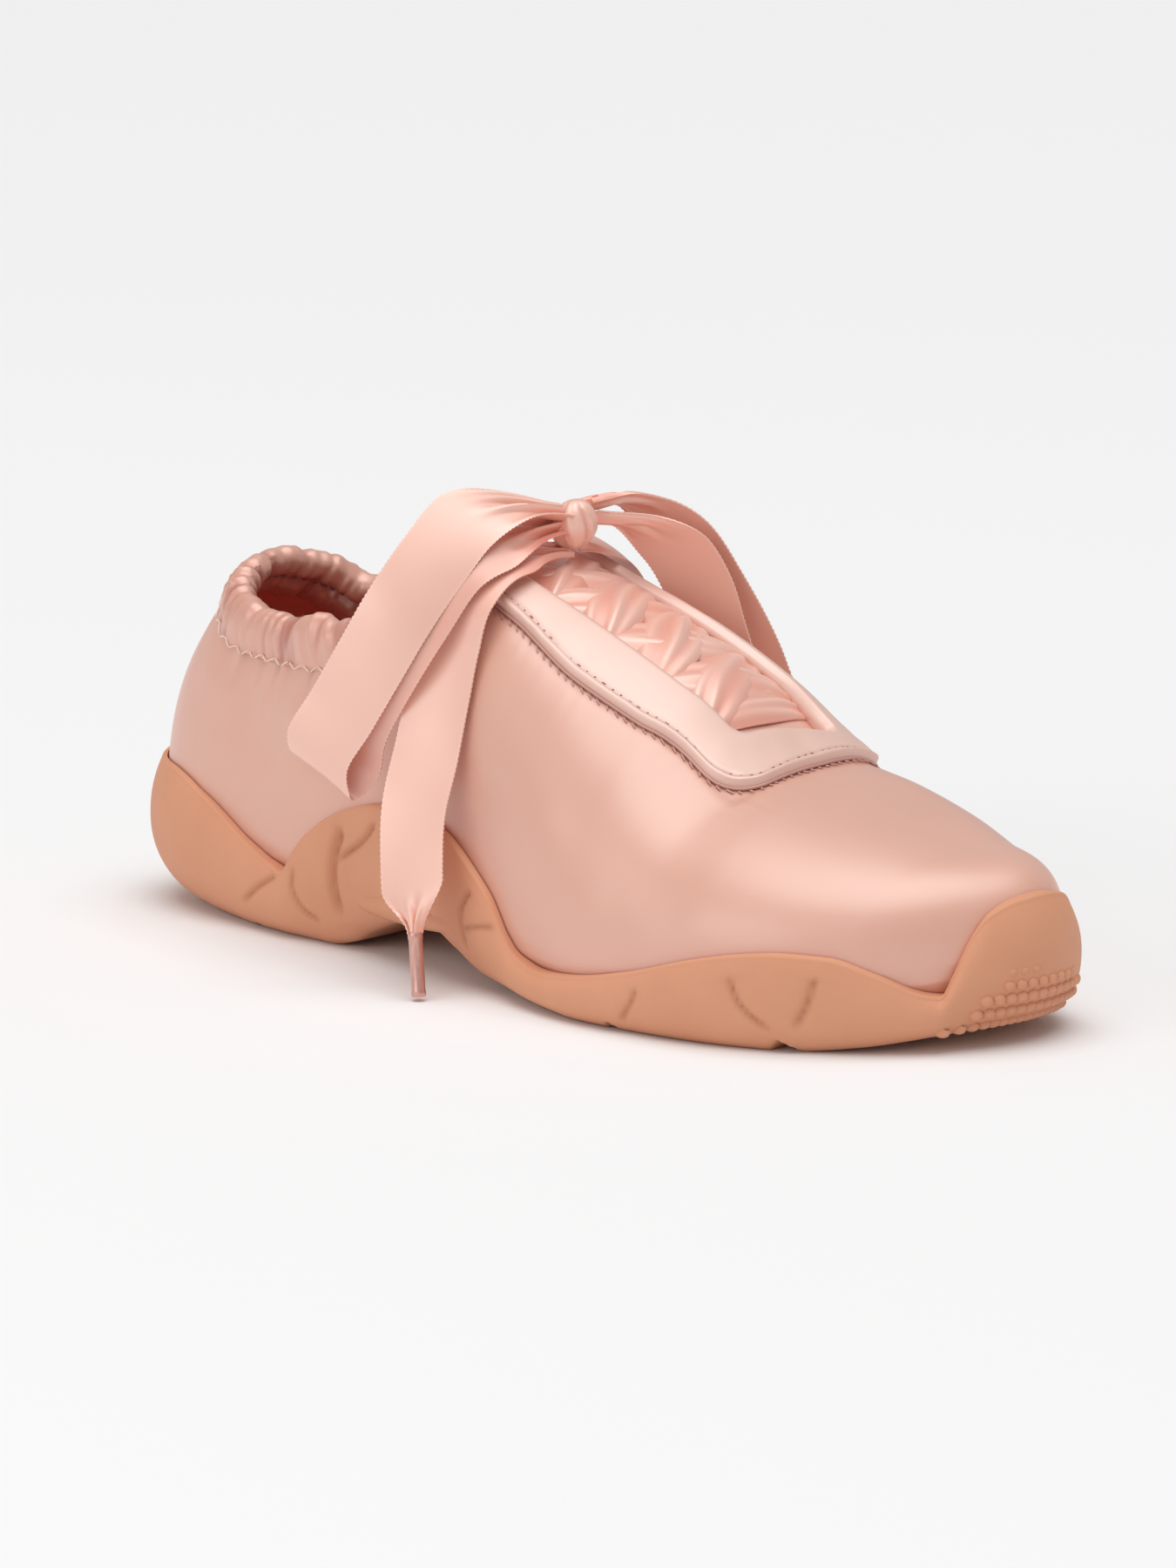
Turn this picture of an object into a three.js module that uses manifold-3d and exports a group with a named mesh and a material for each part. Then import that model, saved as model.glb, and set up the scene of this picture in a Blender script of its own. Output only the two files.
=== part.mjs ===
// A low, ribbon-laced sneaker for the right foot: a moulded rubber sole under a smooth satin upper.
// Millimetres. +X is the toe, +Y the medial (big toe) side, +Z up, and the floor is z = 0.
// The origin is under the middle of the shoe.

import * as THREE from 'three';
import Module from 'manifold-3d';
import { mergeVertices } from 'three/addons/utils/BufferGeometryUtils.js';

const wasm = await Module();
wasm.setup();

// Driving dimensions
const heelCentre = { x: -95, y: 2.8 };
const toeCentreX = 105;
const upperWall = 2.0;
const seamGap = 0.3;
const soleLipInset = 3.3;
const heelLipExtra = 0.8;
const heelBlend = { near: 40, far: 90 };
const footbedTuck = 2.6;
const footbedRise = 0.6;
const widestAboveFoot = 7;
const toeRise = 0.16;
const toeTipRise = 4;
const pastEnds = 140;
const heelLean = 34;
const leanPower = 2.6;
const wallBulge = { share: 0.58, highest: 21 };
const rimRound = 0.9;
const rimLedge = 1.1;
const rimShelf = 9;
const soleCore = 24;
const eyestayThickness = 1.6;
const cuffThickness = 2.4;
const cuffHeight = 11;
const collarFold = 0.8;
const tongueThickness = 2.2;
const insoleThickness = 3.0;
const lastingMargin = 9;
const throatRearX = -60;
const tongueRearX = -27;
const tongueSpread = 9;
const tongueTuck = 4;
const eyestayRearX = -34;
const ribbonWidth = 16;
const ribbonThickness = 1.0;
const lacedWidth = 7.5;
const laceOverTongue = 0.3;
const laceProud = 1.6;
const laceClear = 0.4;
const knot = { x: -4.8, y: 6.0, z: 96.6, halfLength: 4.5, halfWidth: 5.2, halfHeight: 5.9 };
const agletRadius = 1.6;
const lateralFoot = { x: 3.4, y: -51.0, z: 0.9 };
const medialFoot = { x: -8.0, y: 50.0, z: 0.9 };
const grooveRadius = 0.9;
const grooveSides = 4;
const tabFacets = { round: 10, high: 6 };
const knotFacets = { round: 14, high: 9 };
const agletSides = 10;
const waistTab = { x: -20, height: 12.4, halfLength: 17, halfHeight: 2.5, proud: 1.8 };

// The sole's widest outline from above, from the middle of the heel along the lateral side to the
// toe and back along the medial side.
const soleOutline = [
  { x: -128.4, y: 2.6 },
  { x: -119.2, y: -16.3 },
  { x: -101.2, y: -26.0 },
  { x: -68.3, y: -28.9 },
  { x: -28.3, y: -31.8 },
  { x: 6.4, y: -38.4 },
  { x: 41.5, y: -45.7 },
  { x: 77.2, y: -42.9 },
  { x: 101.6, y: -31.2 },
  { x: 119.6, y: -12.8 },
  { x: 128.4, y: 7.9 },
  { x: 123.0, y: 25.5 },
  { x: 105.3, y: 37.2 },
  { x: 73.5, y: 45.7 },
  { x: 42.0, y: 43.7 },
  { x: 6.9, y: 35.6 },
  { x: -28.3, y: 34.2 },
  { x: -68.3, y: 35.6 },
  { x: -101.4, y: 32.8 },
  { x: -119.5, y: 21.8 },
];

// The height of the sole's upper edge. The place is a share of the way round the outline, from the
// middle of the heel (0) along the lateral side and round the toe (0.505) to the heel again (1).
const soleRim = [
  { place: 0.0, height: 34.5 },
  { place: 0.058, height: 33.5 },
  { place: 0.07, height: 32.4 },
  { place: 0.089, height: 28.3 },
  { place: 0.115, height: 19.9 },
  { place: 0.129, height: 16.2 },
  { place: 0.134, height: 15.3 },
  { place: 0.138, height: 17.4 },
  { place: 0.142, height: 20.7 },
  { place: 0.149, height: 25.0 },
  { place: 0.159, height: 29.1 },
  { place: 0.172, height: 32.6 },
  { place: 0.19, height: 35.2 },
  { place: 0.21, height: 36.0 },
  { place: 0.229, height: 34.1 },
  { place: 0.261, height: 23.0 },
  { place: 0.282, height: 10.8 },
  { place: 0.296, height: 9.2 },
  { place: 0.314, height: 10.1 },
  { place: 0.341, height: 13.3 },
  { place: 0.37, height: 18.2 },
  { place: 0.388, height: 20.4 },
  { place: 0.403, height: 21.2 },
  { place: 0.42, height: 20.7 },
  { place: 0.436, height: 17.7 },
  { place: 0.457, height: 12.8 },
  { place: 0.462, height: 12.5 },
  { place: 0.466, height: 16.4 },
  { place: 0.47, height: 21.0 },
  { place: 0.475, height: 25.6 },
  { place: 0.481, height: 28.9 },
  { place: 0.493, height: 31.4 },
  { place: 0.507, height: 32.1 },
  { place: 0.522, height: 31.0 },
  { place: 0.531, height: 28.4 },
  { place: 0.538, height: 25.3 },
  { place: 0.543, height: 20.5 },
  { place: 0.548, height: 15.6 },
  { place: 0.5515, height: 14.0 },
  { place: 0.562, height: 15.3 },
  { place: 0.59, height: 20.2 },
  { place: 0.606, height: 22.3 },
  { place: 0.622, height: 22.8 },
  { place: 0.638, height: 21.9 },
  { place: 0.665, height: 16.5 },
  { place: 0.7, height: 10.6 },
  { place: 0.722, height: 10.6 },
  { place: 0.745, height: 22.0 },
  { place: 0.775, height: 33.6 },
  { place: 0.797, height: 36.4 },
  { place: 0.822, height: 34.6 },
  { place: 0.848, height: 27.0 },
  { place: 0.862, height: 17.5 },
  { place: 0.868, height: 15.6 },
  { place: 0.88, height: 18.6 },
  { place: 0.914, height: 28.3 },
  { place: 0.936, height: 32.6 },
  { place: 1.0, height: 34.5 },
];

// The underside in side view: where it stands on the floor, the arch and the toe spring.
const soleFloor = [
  { x: -130, height: 0 },
  { x: -52, height: 0 },
  { x: -44, height: 1.6 },
  { x: -36, height: 5.6 },
  { x: -26, height: 8.8 },
  { x: -12, height: 9.2 },
  { x: -5, height: 6.8 },
  { x: 6, height: 3.0 },
  { x: 18, height: 1.8 },
  { x: 34, height: 0.5 },
  { x: 42, height: 0 },
  { x: 92, height: 0 },
  { x: 104, height: 1.2 },
  { x: 114, height: 3.2 },
  { x: 122, height: 5.6 },
  { x: 130, height: 8.6 },
];

// How far the wall rolls under before it meets the floor, by place round the outline.
const soleRoll = [
  { place: 0.0, under: 19 },
  { place: 0.07, under: 15 },
  { place: 0.12, under: 8 },
  { place: 0.3, under: 6 },
  { place: 0.44, under: 7.5 },
  { place: 0.505, under: 11 },
  { place: 0.56, under: 8 },
  { place: 0.7, under: 6 },
  { place: 0.88, under: 8 },
  { place: 0.93, under: 15 },
  { place: 1.0, under: 19 },
];

// How far the sole's upper edge lies inside its widest outline, by place round the outline.
const soleRimInset = [
  { place: 0.0, inset: 3.0 },
  { place: 0.06, inset: 2.7 },
  { place: 0.11, inset: 1.5 },
  { place: 0.16, inset: 1.1 },
  { place: 0.45, inset: 1.1 },
  { place: 0.475, inset: 2.2 },
  { place: 0.505, inset: 2.6 },
  { place: 0.535, inset: 2.2 },
  { place: 0.56, inset: 1.1 },
  { place: 0.86, inset: 1.1 },
  { place: 0.9, inset: 1.6 },
  { place: 0.945, inset: 2.7 },
  { place: 1.0, inset: 3.0 },
];

// Sections of the foot's form, one row for each place along the shoe. foot is the height of its
// underside, ridge that of its top line and ridgeY the side shift of that line. The exponents shape
// each half of the section: bow in width on each side, crown in height.
const formSections = [
  { x: -95, ridgeY: 2.8, foot: 14.5, ridge: 96, lateralBow: 1.9, medialBow: 1.9, crown: 2.4 },
  { x: -57, ridgeY: 3.2, foot: 13.5, ridge: 97, lateralBow: 2.1, medialBow: 2.1, crown: 3.3 },
  { x: -30, ridgeY: 5.0, foot: 13.5, ridge: 95, lateralBow: 2.7, medialBow: 2.8, crown: 3.2 },
  { x: -15, ridgeY: 6.5, foot: 13.0, ridge: 90.5, lateralBow: 3.0, medialBow: 3.2, crown: 3.1 },
  { x: 0, ridgeY: 7.5, foot: 11.0, ridge: 84.7, lateralBow: 3.0, medialBow: 3.5, crown: 3.0 },
  { x: 20, ridgeY: 8.5, foot: 8.0, ridge: 76.3, lateralBow: 2.4, medialBow: 4.0, crown: 2.7 },
  { x: 40, ridgeY: 9.5, foot: 6.4, ridge: 66.6, lateralBow: 1.9, medialBow: 3.4, crown: 2.35 },
  { x: 51, ridgeY: 10.0, foot: 6.0, ridge: 57.5, lateralBow: 1.9, medialBow: 3.6, crown: 2.5 },
  { x: 61, ridgeY: 10.0, foot: 6.0, ridge: 50.6, lateralBow: 2.0, medialBow: 3.8, crown: 2.6 },
  { x: 74, ridgeY: 10.0, foot: 6.4, ridge: 47.6, lateralBow: 2.1, medialBow: 3.8, crown: 2.7 },
  { x: 90, ridgeY: 10.0, foot: 7.6, ridge: 43.6, lateralBow: 2.2, medialBow: 3.6, crown: 2.7 },
  { x: 105, ridgeY: 10.0, foot: 9.6, ridge: 39.4, lateralBow: 2.4, medialBow: 2.8, crown: 2.6 },
];

// The collar's edge in side view.
const collarLine = [
  { x: -140, height: 81.5 },
  { x: -95, height: 81.5 },
  { x: -90, height: 77.6 },
  { x: -84, height: 73.2 },
  { x: -76, height: 71.8 },
  { x: -62, height: 72.2 },
  { x: -45, height: 73.8 },
  { x: -32, height: 79.0 },
  { x: -20, height: 87.0 },
  { x: -12, height: 96.0 },
  { x: -6, height: 104.0 },
];

// The eyestay and the throat seen from above: the y of its four edges.
const throatEdges = [
  { x: -40, outerLateral: -17.0, innerLateral: -9.5, innerMedial: 17.5, outerMedial: 27.5 },
  { x: -15, outerLateral: -16.6, innerLateral: -8.6, innerMedial: 18.0, outerMedial: 28.0 },
  { x: 0, outerLateral: -18.2, innerLateral: -8.4, innerMedial: 19.0, outerMedial: 29.2 },
  { x: 20, outerLateral: -20.3, innerLateral: -6.8, innerMedial: 20.5, outerMedial: 31.0 },
  { x: 37, outerLateral: -18.4, innerLateral: -5.0, innerMedial: 22.2, outerMedial: 32.4 },
  { x: 50, outerLateral: -15.4, innerLateral: -2.6, innerMedial: 24.4, outerMedial: 33.6 },
];

// The lowest that the eyestay reaches on the steep medial side, in side view.
const eyestayLow = [
  { x: -70, height: 72 },
  { x: -10, height: 76 },
  { x: 10, height: 69 },
  { x: 30, height: 61 },
  { x: 50, height: 50 },
  { x: 65, height: 40 },
];
const throatFrontX = 51;
const throatSkew = 3.4;
const throatCorner = 4;
const eyestayFrontX = 62.5;
const eyestaySkew = -2.2;
const eyestayCorner = 16;
const farCorner = 1.5;

// The rows that the ribbon laces between, from the front: the x of each.
const laceRows = [46, 31, 16, 1, -13];

// Grooves drawn down the sole's wall, each a line of places in side view.
const lateralGrooves = [
  [{ x: -65, z: 14.6 }, { x: -71, z: 10.6 }, { x: -77, z: 6.2 }],
  [{ x: -58.4, z: 17.5 }, { x: -58.6, z: 12.4 }, { x: -55.6, z: 7.8 }, { x: -50, z: 5.2 }],
  [{ x: -42.6, z: 29.2 }, { x: -45, z: 21.2 }, { x: -44.9, z: 13.1 }, { x: -43.1, z: 6.8 }],
  [{ x: -30.4, z: 32 }, { x: -33.8, z: 27.6 }, { x: -44.4, z: 20.8 }],
  [{ x: 5.8, z: 23.0 }, { x: 2, z: 17.4 }, { x: 2, z: 12 }, { x: 3.6, z: 8.2 }],
  [{ x: 83.1, z: 16.3 }, { x: 85.4, z: 10.4 }, { x: 91.4, z: 4.2 }],
  [{ x: 99.5, z: 17 }, { x: 98.4, z: 11.4 }, { x: 95.4, z: 5.2 }],
];
const medialGrooves = [
  [{ x: -42.6, z: 29.6 }, { x: -45, z: 21.2 }, { x: -44.9, z: 13.1 }, { x: -43.1, z: 6.8 }],
  [{ x: 5.8, z: 23.6 }, { x: 2, z: 17.4 }, { x: 2, z: 12 }, { x: 3.6, z: 8.2 }],
  [{ x: 79.5, z: 17.4 }, { x: 83, z: 9.4 }, { x: 91.4, z: 3.4 }],
  [{ x: 96.6, z: 15.7 }, { x: 100, z: 10.4 }, { x: 103.6, z: 6 }],
];

// Flex notches across the underside, each with its depth and half its width.
const flexNotches = [
  { x: -76, depth: 1.4, half: 1.8 },
  { x: 51.8, depth: 2.0, half: 2.2 },
  { x: 91.4, depth: 3.0, half: 3.2 },
];

// The bow's ribbon, point by point: each loop from the top of the knot down and back, each tail
// from the knot to its aglet.
const lateralLoop = [
  { x: -5.0, y: 1.2, z: 99.6 },
  { x: -9.5, y: -9.5, z: 101.6 },
  { x: -12.1, y: -19.0, z: 99.9 },
  { x: -13.6, y: -28.4, z: 91.6 },
  { x: -16.4, y: -36.8, z: 80.6 },
  { x: -21.0, y: -41.2, z: 69.6 },
  { x: -26.4, y: -44.4, z: 58.8 },
  { x: -31.4, y: -47.0, z: 49.4 },
  { x: -32.6, y: -43.8, z: 43.6 },
  { x: -29.6, y: -40.0, z: 46.8 },
  { x: -26.0, y: -40.4, z: 56.0 },
  { x: -19.8, y: -37.8, z: 68.0 },
  { x: -14.4, y: -33.4, z: 79.4 },
  { x: -11.0, y: -25.4, z: 90.6 },
  { x: -8.7, y: -15.0, z: 94.6 },
  { x: -7.6, y: -7.5, z: 95.6 },
  { x: -5.4, y: 0.5, z: 96.4 },
];
const medialLoop = [
  { x: -5.0, y: 11.9, z: 100.2 },
  { x: -2.0, y: 17.0, z: 101.2 },
  { x: 1.8, y: 24.0, z: 98.6 },
  { x: 5.5, y: 30.5, z: 91.8 },
  { x: 8.9, y: 36.0, z: 81.8 },
  { x: 12.1, y: 40.2, z: 72.1 },
  { x: 14.9, y: 43.2, z: 62.5 },
  { x: 16.8, y: 44.6, z: 53.4 },
  { x: 16.8, y: 41.4, z: 48.2 },
  { x: 15.6, y: 37.6, z: 51.2 },
  { x: 13.8, y: 36.0, z: 60.6 },
  { x: 11.2, y: 34.0, z: 70.6 },
  { x: 9.4, y: 30.6, z: 82.0 },
  { x: 6.8, y: 25.4, z: 90.8 },
  { x: 2.6, y: 18.6, z: 95.8 },
  { x: -3.4, y: 11.8, z: 97.2 },
];
const lateralTail = [
  { x: -5.6, y: 2.6, z: 90.7 },
  { x: -8.0, y: -7.5, z: 91.2 },
  { x: -9.2, y: -16.5, z: 89.2 },
  { x: -9.4, y: -24.0, z: 83.2 },
  { x: -9.4, y: -28.4, z: 73.6 },
  { x: -9.0, y: -32.2, z: 63.1 },
  { x: -8.3, y: -36.6, z: 51.0 },
  { x: -6.9, y: -42.0, z: 39.0 },
  { x: -3.6, y: -46.0, z: 27.3 },
  { x: 1.3, y: -50.0, z: 14.2 },
];
const medialTail = [
  { x: -7.2, y: 9.4, z: 91.6 },
  { x: -10.4, y: 17.2, z: 90.6 },
  { x: -12.4, y: 24.4, z: 88.4 },
  { x: -13.4, y: 30.6, z: 81.8 },
  { x: -14.4, y: 33.6, z: 71.0 },
  { x: -14.6, y: 36.4, z: 59.6 },
  { x: -14.2, y: 39.6, z: 47.6 },
  { x: -13.0, y: 43.0, z: 35.6 },
  { x: -11.0, y: 46.4, z: 24.2 },
  { x: -9.0, y: 49.0, z: 14.2 },
];

// Small tools

// A smooth value from a table with no overshoot between its rows.
function read(table, key, at, column) {
  const last = table.length - 1;
  if (at <= table[0][key]) return table[0][column];
  if (at >= table[last][key]) return table[last][column];
  let i = 0;
  while (at > table[i + 1][key]) i += 1;
  const slope = (j) => (table[j + 1][column] - table[j][column]) / (table[j + 1][key] - table[j][key]);
  const tangent = (j) => {
    if (j === 0 || j === last) return 0;
    const before = slope(j - 1);
    const after = slope(j);
    return before * after <= 0 ? 0 : (2 * before * after) / (before + after);
  };
  const width = table[i + 1][key] - table[i][key];
  const t = (at - table[i][key]) / width;
  const rise = t * t * (3 - 2 * t);
  const bend = t * (1 - t) * ((1 - t) * tangent(i) - t * tangent(i + 1)) * width;
  return table[i][column] * (1 - rise) + table[i + 1][column] * rise + bend;
}

function toSolid(geometry) {
  const bare = geometry.index ? geometry.toNonIndexed() : geometry.clone();
  bare.deleteAttribute('normal');
  bare.deleteAttribute('uv');
  const welded = mergeVertices(bare, 1e-4);
  const index = Array.from(welded.index.array);
  const kept = [];
  for (let i = 0; i < index.length; i += 3) {
    const [a, b, c] = index.slice(i, i + 3);
    if (a !== b && b !== c && a !== c) kept.push(a, b, c);
  }
  return new wasm.Manifold(new wasm.Mesh({
    numProp: 3,
    vertProperties: new Float32Array(welded.attributes.position.array),
    triVerts: new Uint32Array(kept),
  }));
}

function toMesh(name, solid, material) {
  const { vertProperties, triVerts } = solid.getMesh();
  const geometry = new THREE.BufferGeometry();
  geometry.setAttribute('position', new THREE.BufferAttribute(new Float32Array(vertProperties), 3));
  geometry.setIndex(new THREE.BufferAttribute(new Uint32Array(triVerts), 1));
  geometry.computeVertexNormals();
  const mesh = new THREE.Mesh(geometry, material);
  mesh.name = name;
  return mesh;
}

// An upright prism from a plan outline, between two heights.
function uprightPrism(points, low, high) {
  const shape = new THREE.Shape(points.map((p) => new THREE.Vector2(p.x, p.y)));
  const geometry = new THREE.ExtrudeGeometry(shape, { depth: high - low, bevelEnabled: false });
  geometry.translate(0, 0, low);
  return toSolid(geometry);
}

// A prism across the shoe from a side view outline of x and height.
function crossPrism(points) {
  const halfSpan = 80;
  const shape = new THREE.Shape(points.map((p) => new THREE.Vector2(p.x, p.z)));
  const geometry = new THREE.ExtrudeGeometry(shape, { depth: 2 * halfSpan, bevelEnabled: false });
  geometry.rotateX(Math.PI / 2);
  geometry.translate(0, halfSpan, 0);
  return toSolid(geometry);
}

function steps(from, to, count) {
  return Array.from({ length: count + 1 }, (_, i) => from + ((to - from) * i) / count);
}

// The outline, and rays from the shoe's spine out to it

const outlineCurve = new THREE.CatmullRomCurve3(
  soleOutline.map((p) => new THREE.Vector3(p.x, p.y, 0)), true, 'catmullrom', 0.5);
const outlineSteps = 1200;
const outlinePoints = outlineCurve.getSpacedPoints(outlineSteps);

function ridgeSide(x) {
  return read(formSections, 'x', x, 'ridgeY');
}

// Where a ray from a spine point leaves the outline: its length, and the place round the outline.
function outlineHit(from, direction) {
  let best = null;
  for (let i = 0; i < outlineSteps; i += 1) {
    const a = outlinePoints[i];
    const b = outlinePoints[i + 1];
    const edge = { x: b.x - a.x, y: b.y - a.y };
    const cross = direction.x * edge.y - direction.y * edge.x;
    const along = ((a.x - from.x) * edge.y - (a.y - from.y) * edge.x) / cross;
    const share = ((a.x - from.x) * direction.y - (a.y - from.y) * direction.x) / cross;
    if (along > 0 && share >= 0 && share < 1 && (best === null || along > best.reach)) {
      best = { reach: along, place: (i + share) / outlineSteps };
    }
  }
  return best;
}

function makeRay(spineIndex, x, angle) {
  const from = { x, y: ridgeSide(x) };
  const direction = { x: Math.cos(angle), y: Math.sin(angle) };
  return { spineIndex, from, direction, lateral: direction.y < 0, ...outlineHit(from, direction) };
}

// A fan round the heel, pairs of rays across the middle and a fan round the toe, in one loop.
function makeRays(heelSteps, middle, toeSteps) {
  const last = middle.length - 1;
  const half = Math.PI / 2;
  const lateral = middle.map((x, i) => makeRay(i, x, -half));
  const medial = middle.map((x, i) => makeRay(i, x, half));
  const toe = steps(-half, half, toeSteps).slice(1, -1).map((a) => makeRay(last, toeCentreX, a));
  const heel = steps(half, 3 * half, heelSteps).slice(1, -1).map((a) => makeRay(0, heelCentre.x, a));
  return [...lateral, ...toe, ...medial.reverse(), ...heel];
}

// A closed skin over all the rays. section(ray) gives the rows from the lower spine line to the
// upper one, each with its reach from the spine and its height.
function skin(rays, section) {
  const rows = rays.map((ray) => section(ray).map((row) => new THREE.Vector3(
    ray.from.x + ray.direction.x * row.reach + (row.shift ?? 0),
    ray.from.y + ray.direction.y * row.reach,
    row.height,
  )));
  const corners = [];
  const face = (a, b, c) => corners.push(...a.toArray(), ...b.toArray(), ...c.toArray());
  rays.forEach((_, i) => {
    const here = rows[i];
    const next = rows[(i + 1) % rays.length];
    for (let j = 0; j + 1 < here.length; j += 1) {
      face(here[j], next[j], next[j + 1]);
      face(here[j], next[j + 1], here[j + 1]);
    }
  });
  const geometry = new THREE.BufferGeometry();
  geometry.setAttribute('position', new THREE.BufferAttribute(new Float32Array(corners), 3));
  return mergeVertices(geometry, 1e-4);
}

// The form of the foot, which the upper, its overlays, the tongue and the insole are cut from

const formMiddle = [
  -95, -85, -75, -64, -52, -40, -28, -16, -5, 6, 17, 28, 38, 47, 55, 63, 72, 82, 93, 105,
];
const formFan = 12;
const formRays = makeRays(formFan, formMiddle, formFan);
const crownSteps = [0, 17, 33, 48, 61, 72, 82, 90];

function lipInset(ray) {
  const back = THREE.MathUtils.smoothstep(-ray.from.x, heelBlend.near, heelBlend.far);
  return soleLipInset + heelLipExtra * back;
}

function formSection(ray) {
  const at = (column) => read(formSections, 'x', ray.from.x, column);
  const tip = ray.from.x + ray.direction.x * ray.reach;
  const toeLift = Math.max(0, tip - toeCentreX) * toeRise;
  const foot = at('foot') + toeLift;
  const ridge = at('ridge');
  const bow = at(ray.lateral ? 'lateralBow' : 'medialBow');
  const crown = at('crown');
  const reach = ray.reach - lipInset(ray);
  const widest = foot + widestAboveFoot;
  const leaning = 1 - THREE.MathUtils.smoothstep(ray.from.x, heelCentre.x, -heelBlend.near);
  const rows = [
    { reach: 0, height: at('foot') },
    { reach: reach - footbedTuck - 2, height: foot },
    { reach: reach - footbedTuck, height: foot + footbedRise },
    { reach: reach - footbedRise, height: foot + widestAboveFoot / 2 },
  ];
  for (const degrees of crownSteps) {
    const angle = THREE.MathUtils.degToRad(degrees);
    const out = degrees === 90 ? 0 : Math.cos(angle) ** (2 / bow);
    const up = Math.sin(angle) ** (2 / crown);
    const height = widest + (ridge - widest) * up;
    rows.push({ reach: reach * out, height, shift: leaning * heelLean * up ** leanPower });
  }
  return rows;
}

const formSkin = skin(formRays, formSection);
formSkin.computeVertexNormals();

// The form grown or shrunk along its own normals.
function form(offset) {
  const grown = formSkin.clone();
  const position = grown.attributes.position;
  const normal = formSkin.attributes.normal;
  for (let i = 0; i < position.count; i += 1) {
    position.setXYZ(i,
      position.getX(i) + normal.getX(i) * offset,
      position.getY(i) + normal.getY(i) * offset,
      position.getZ(i) + normal.getZ(i) * offset);
  }
  return toSolid(grown);
}

// The heights that the upright cuts run between, which clear everything under the throat.
const cutLow = 30;
const cutTop = 140;
const edgeSteps = 22;
const cornerSteps = 4;
const sideSteps = 7;

// Everything above a side view line that is moved by some height.
function above(line, shift) {
  const first = line[0].x;
  const end = line[line.length - 1].x;
  const edge = steps(first, end, edgeSteps).map((x) => ({ x, z: read(line, 'x', x, 'height') + shift }));
  return crossPrism([{ x: first, z: cutTop }, ...edge, { x: end, z: cutTop }]);
}

// A plan outline between two of the throat's edges, open towards the heel. Its front has one round
// corner, and the other one is skewed further towards the toe or back from it.
function throatPlan({ edges, rear, frontX, corner, skew, grow }) {
  const y = (x, edge) => read(throatEdges, 'x', x, edge);
  const side = (edge, end, shift) => steps(rear, end, sideSteps).map((x) => ({ x, y: y(x, edge) + shift }));
  const lateral = side(edges[0], frontX - corner, -grow);
  const medial = side(edges[1], frontX + skew - corner, grow).reverse();
  const start = lateral[lateral.length - 1];
  const front = frontX + grow;
  const bend = steps(0, Math.PI / 2, cornerSteps).slice(1).map((angle) => ({
    x: start.x + (front - start.x) * Math.sin(angle),
    y: start.y + corner * (1 - Math.cos(angle)),
  }));
  const far = [
    { x: front + skew, y: medial[0].y - farCorner },
    { x: front + skew - farCorner, y: medial[0].y },
  ];
  return [...lateral, ...bend, ...far, ...medial];
}

const throatShape = {
  edges: ['innerLateral', 'innerMedial'], frontX: throatFrontX, corner: throatCorner, skew: throatSkew,
};
const eyestayShape = {
  edges: ['outerLateral', 'outerMedial'], frontX: eyestayFrontX, corner: eyestayCorner, skew: eyestaySkew,
};

function throatHole(grow) {
  const outline = throatPlan({ ...throatShape, rear: throatRearX, grow });
  return uprightPrism(outline, cutLow, cutTop);
}

function eyestayPlan(grow) {
  const outline = throatPlan({ ...eyestayShape, rear: eyestayRearX - grow, grow });
  return uprightPrism(outline, cutLow, cutTop);
}

// Pieces

const soleMiddle = [
  ...steps(heelCentre.x, -74, 3), -70, -67, -64.5, -62, -58, -53, -47,
  ...steps(-39, 5, 6), 13, 22, ...steps(32, toeCentreX, 9),
];
const soleFan = { heel: 14, toe: 22 };
const soleRays = makeRays(soleFan.heel, soleMiddle, soleFan.toe);

// What shapes the sole's wall on one ray: its rim, its widest height, and the floor below it.
function soleWall(ray) {
  const rim = read(soleRim, 'place', ray.place, 'height');
  const under = read(soleRoll, 'place', ray.place, 'under');
  const floorAt = (reach) => read(soleFloor, 'x', ray.from.x + ray.direction.x * reach, 'height');
  const floor = floorAt(ray.reach - under);
  const bulge = Math.min(wallBulge.highest, floor + wallBulge.share * (rim - floor));
  const inset = read(soleRimInset, 'place', ray.place, 'inset');
  return { rim, under, floorAt, floor, bulge, inset };
}

const rollDegrees = [90, 58, 30, 0];

function soleSection(ray) {
  const { rim, under, floorAt, floor, bulge, inset } = soleWall(ray);
  const roll = (degrees) => {
    const angle = THREE.MathUtils.degToRad(degrees);
    return {
      reach: ray.reach - under * (1 - Math.cos(angle)),
      height: bulge - (bulge - floor) * Math.sin(angle),
    };
  };
  return [
    { reach: 0, height: floorAt(0) },
    ...rollDegrees.map(roll),
    { reach: ray.reach - inset / 3, height: (bulge + rim) / 2 },
    { reach: ray.reach - inset, height: rim - rimRound },
    { reach: ray.reach - inset - rimLedge, height: rim },
    { reach: ray.reach - rimShelf, height: rim },
    { reach: 0, height: soleCore },
  ];
}

// A point on the sole's wall, at a place along the shoe and a height.
function onWall(x, z, side) {
  const ray = makeRay(0, x, side * Math.PI / 2);
  const { under, floor, bulge } = soleWall(ray);
  const drop = Math.min(1, Math.max(0, (bulge - z) / (bulge - floor)));
  const reach = ray.reach - under * (1 - Math.sqrt(1 - drop * drop));
  return new THREE.Vector3(x, ray.from.y + side * reach, z);
}

// A closed tube along points, with a section of several sides.
function tube(points, radius, sides, stepCount) {
  const path = new THREE.CatmullRomCurve3(points, false, 'centripetal');
  const shape = new THREE.Shape(steps(0, 2 * Math.PI, sides).slice(1).map((angle) => (
    new THREE.Vector2(radius * Math.cos(angle), radius * Math.sin(angle)))));
  return new THREE.ExtrudeGeometry(shape, { steps: stepCount, extrudePath: path, bevelEnabled: false });
}

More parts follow.
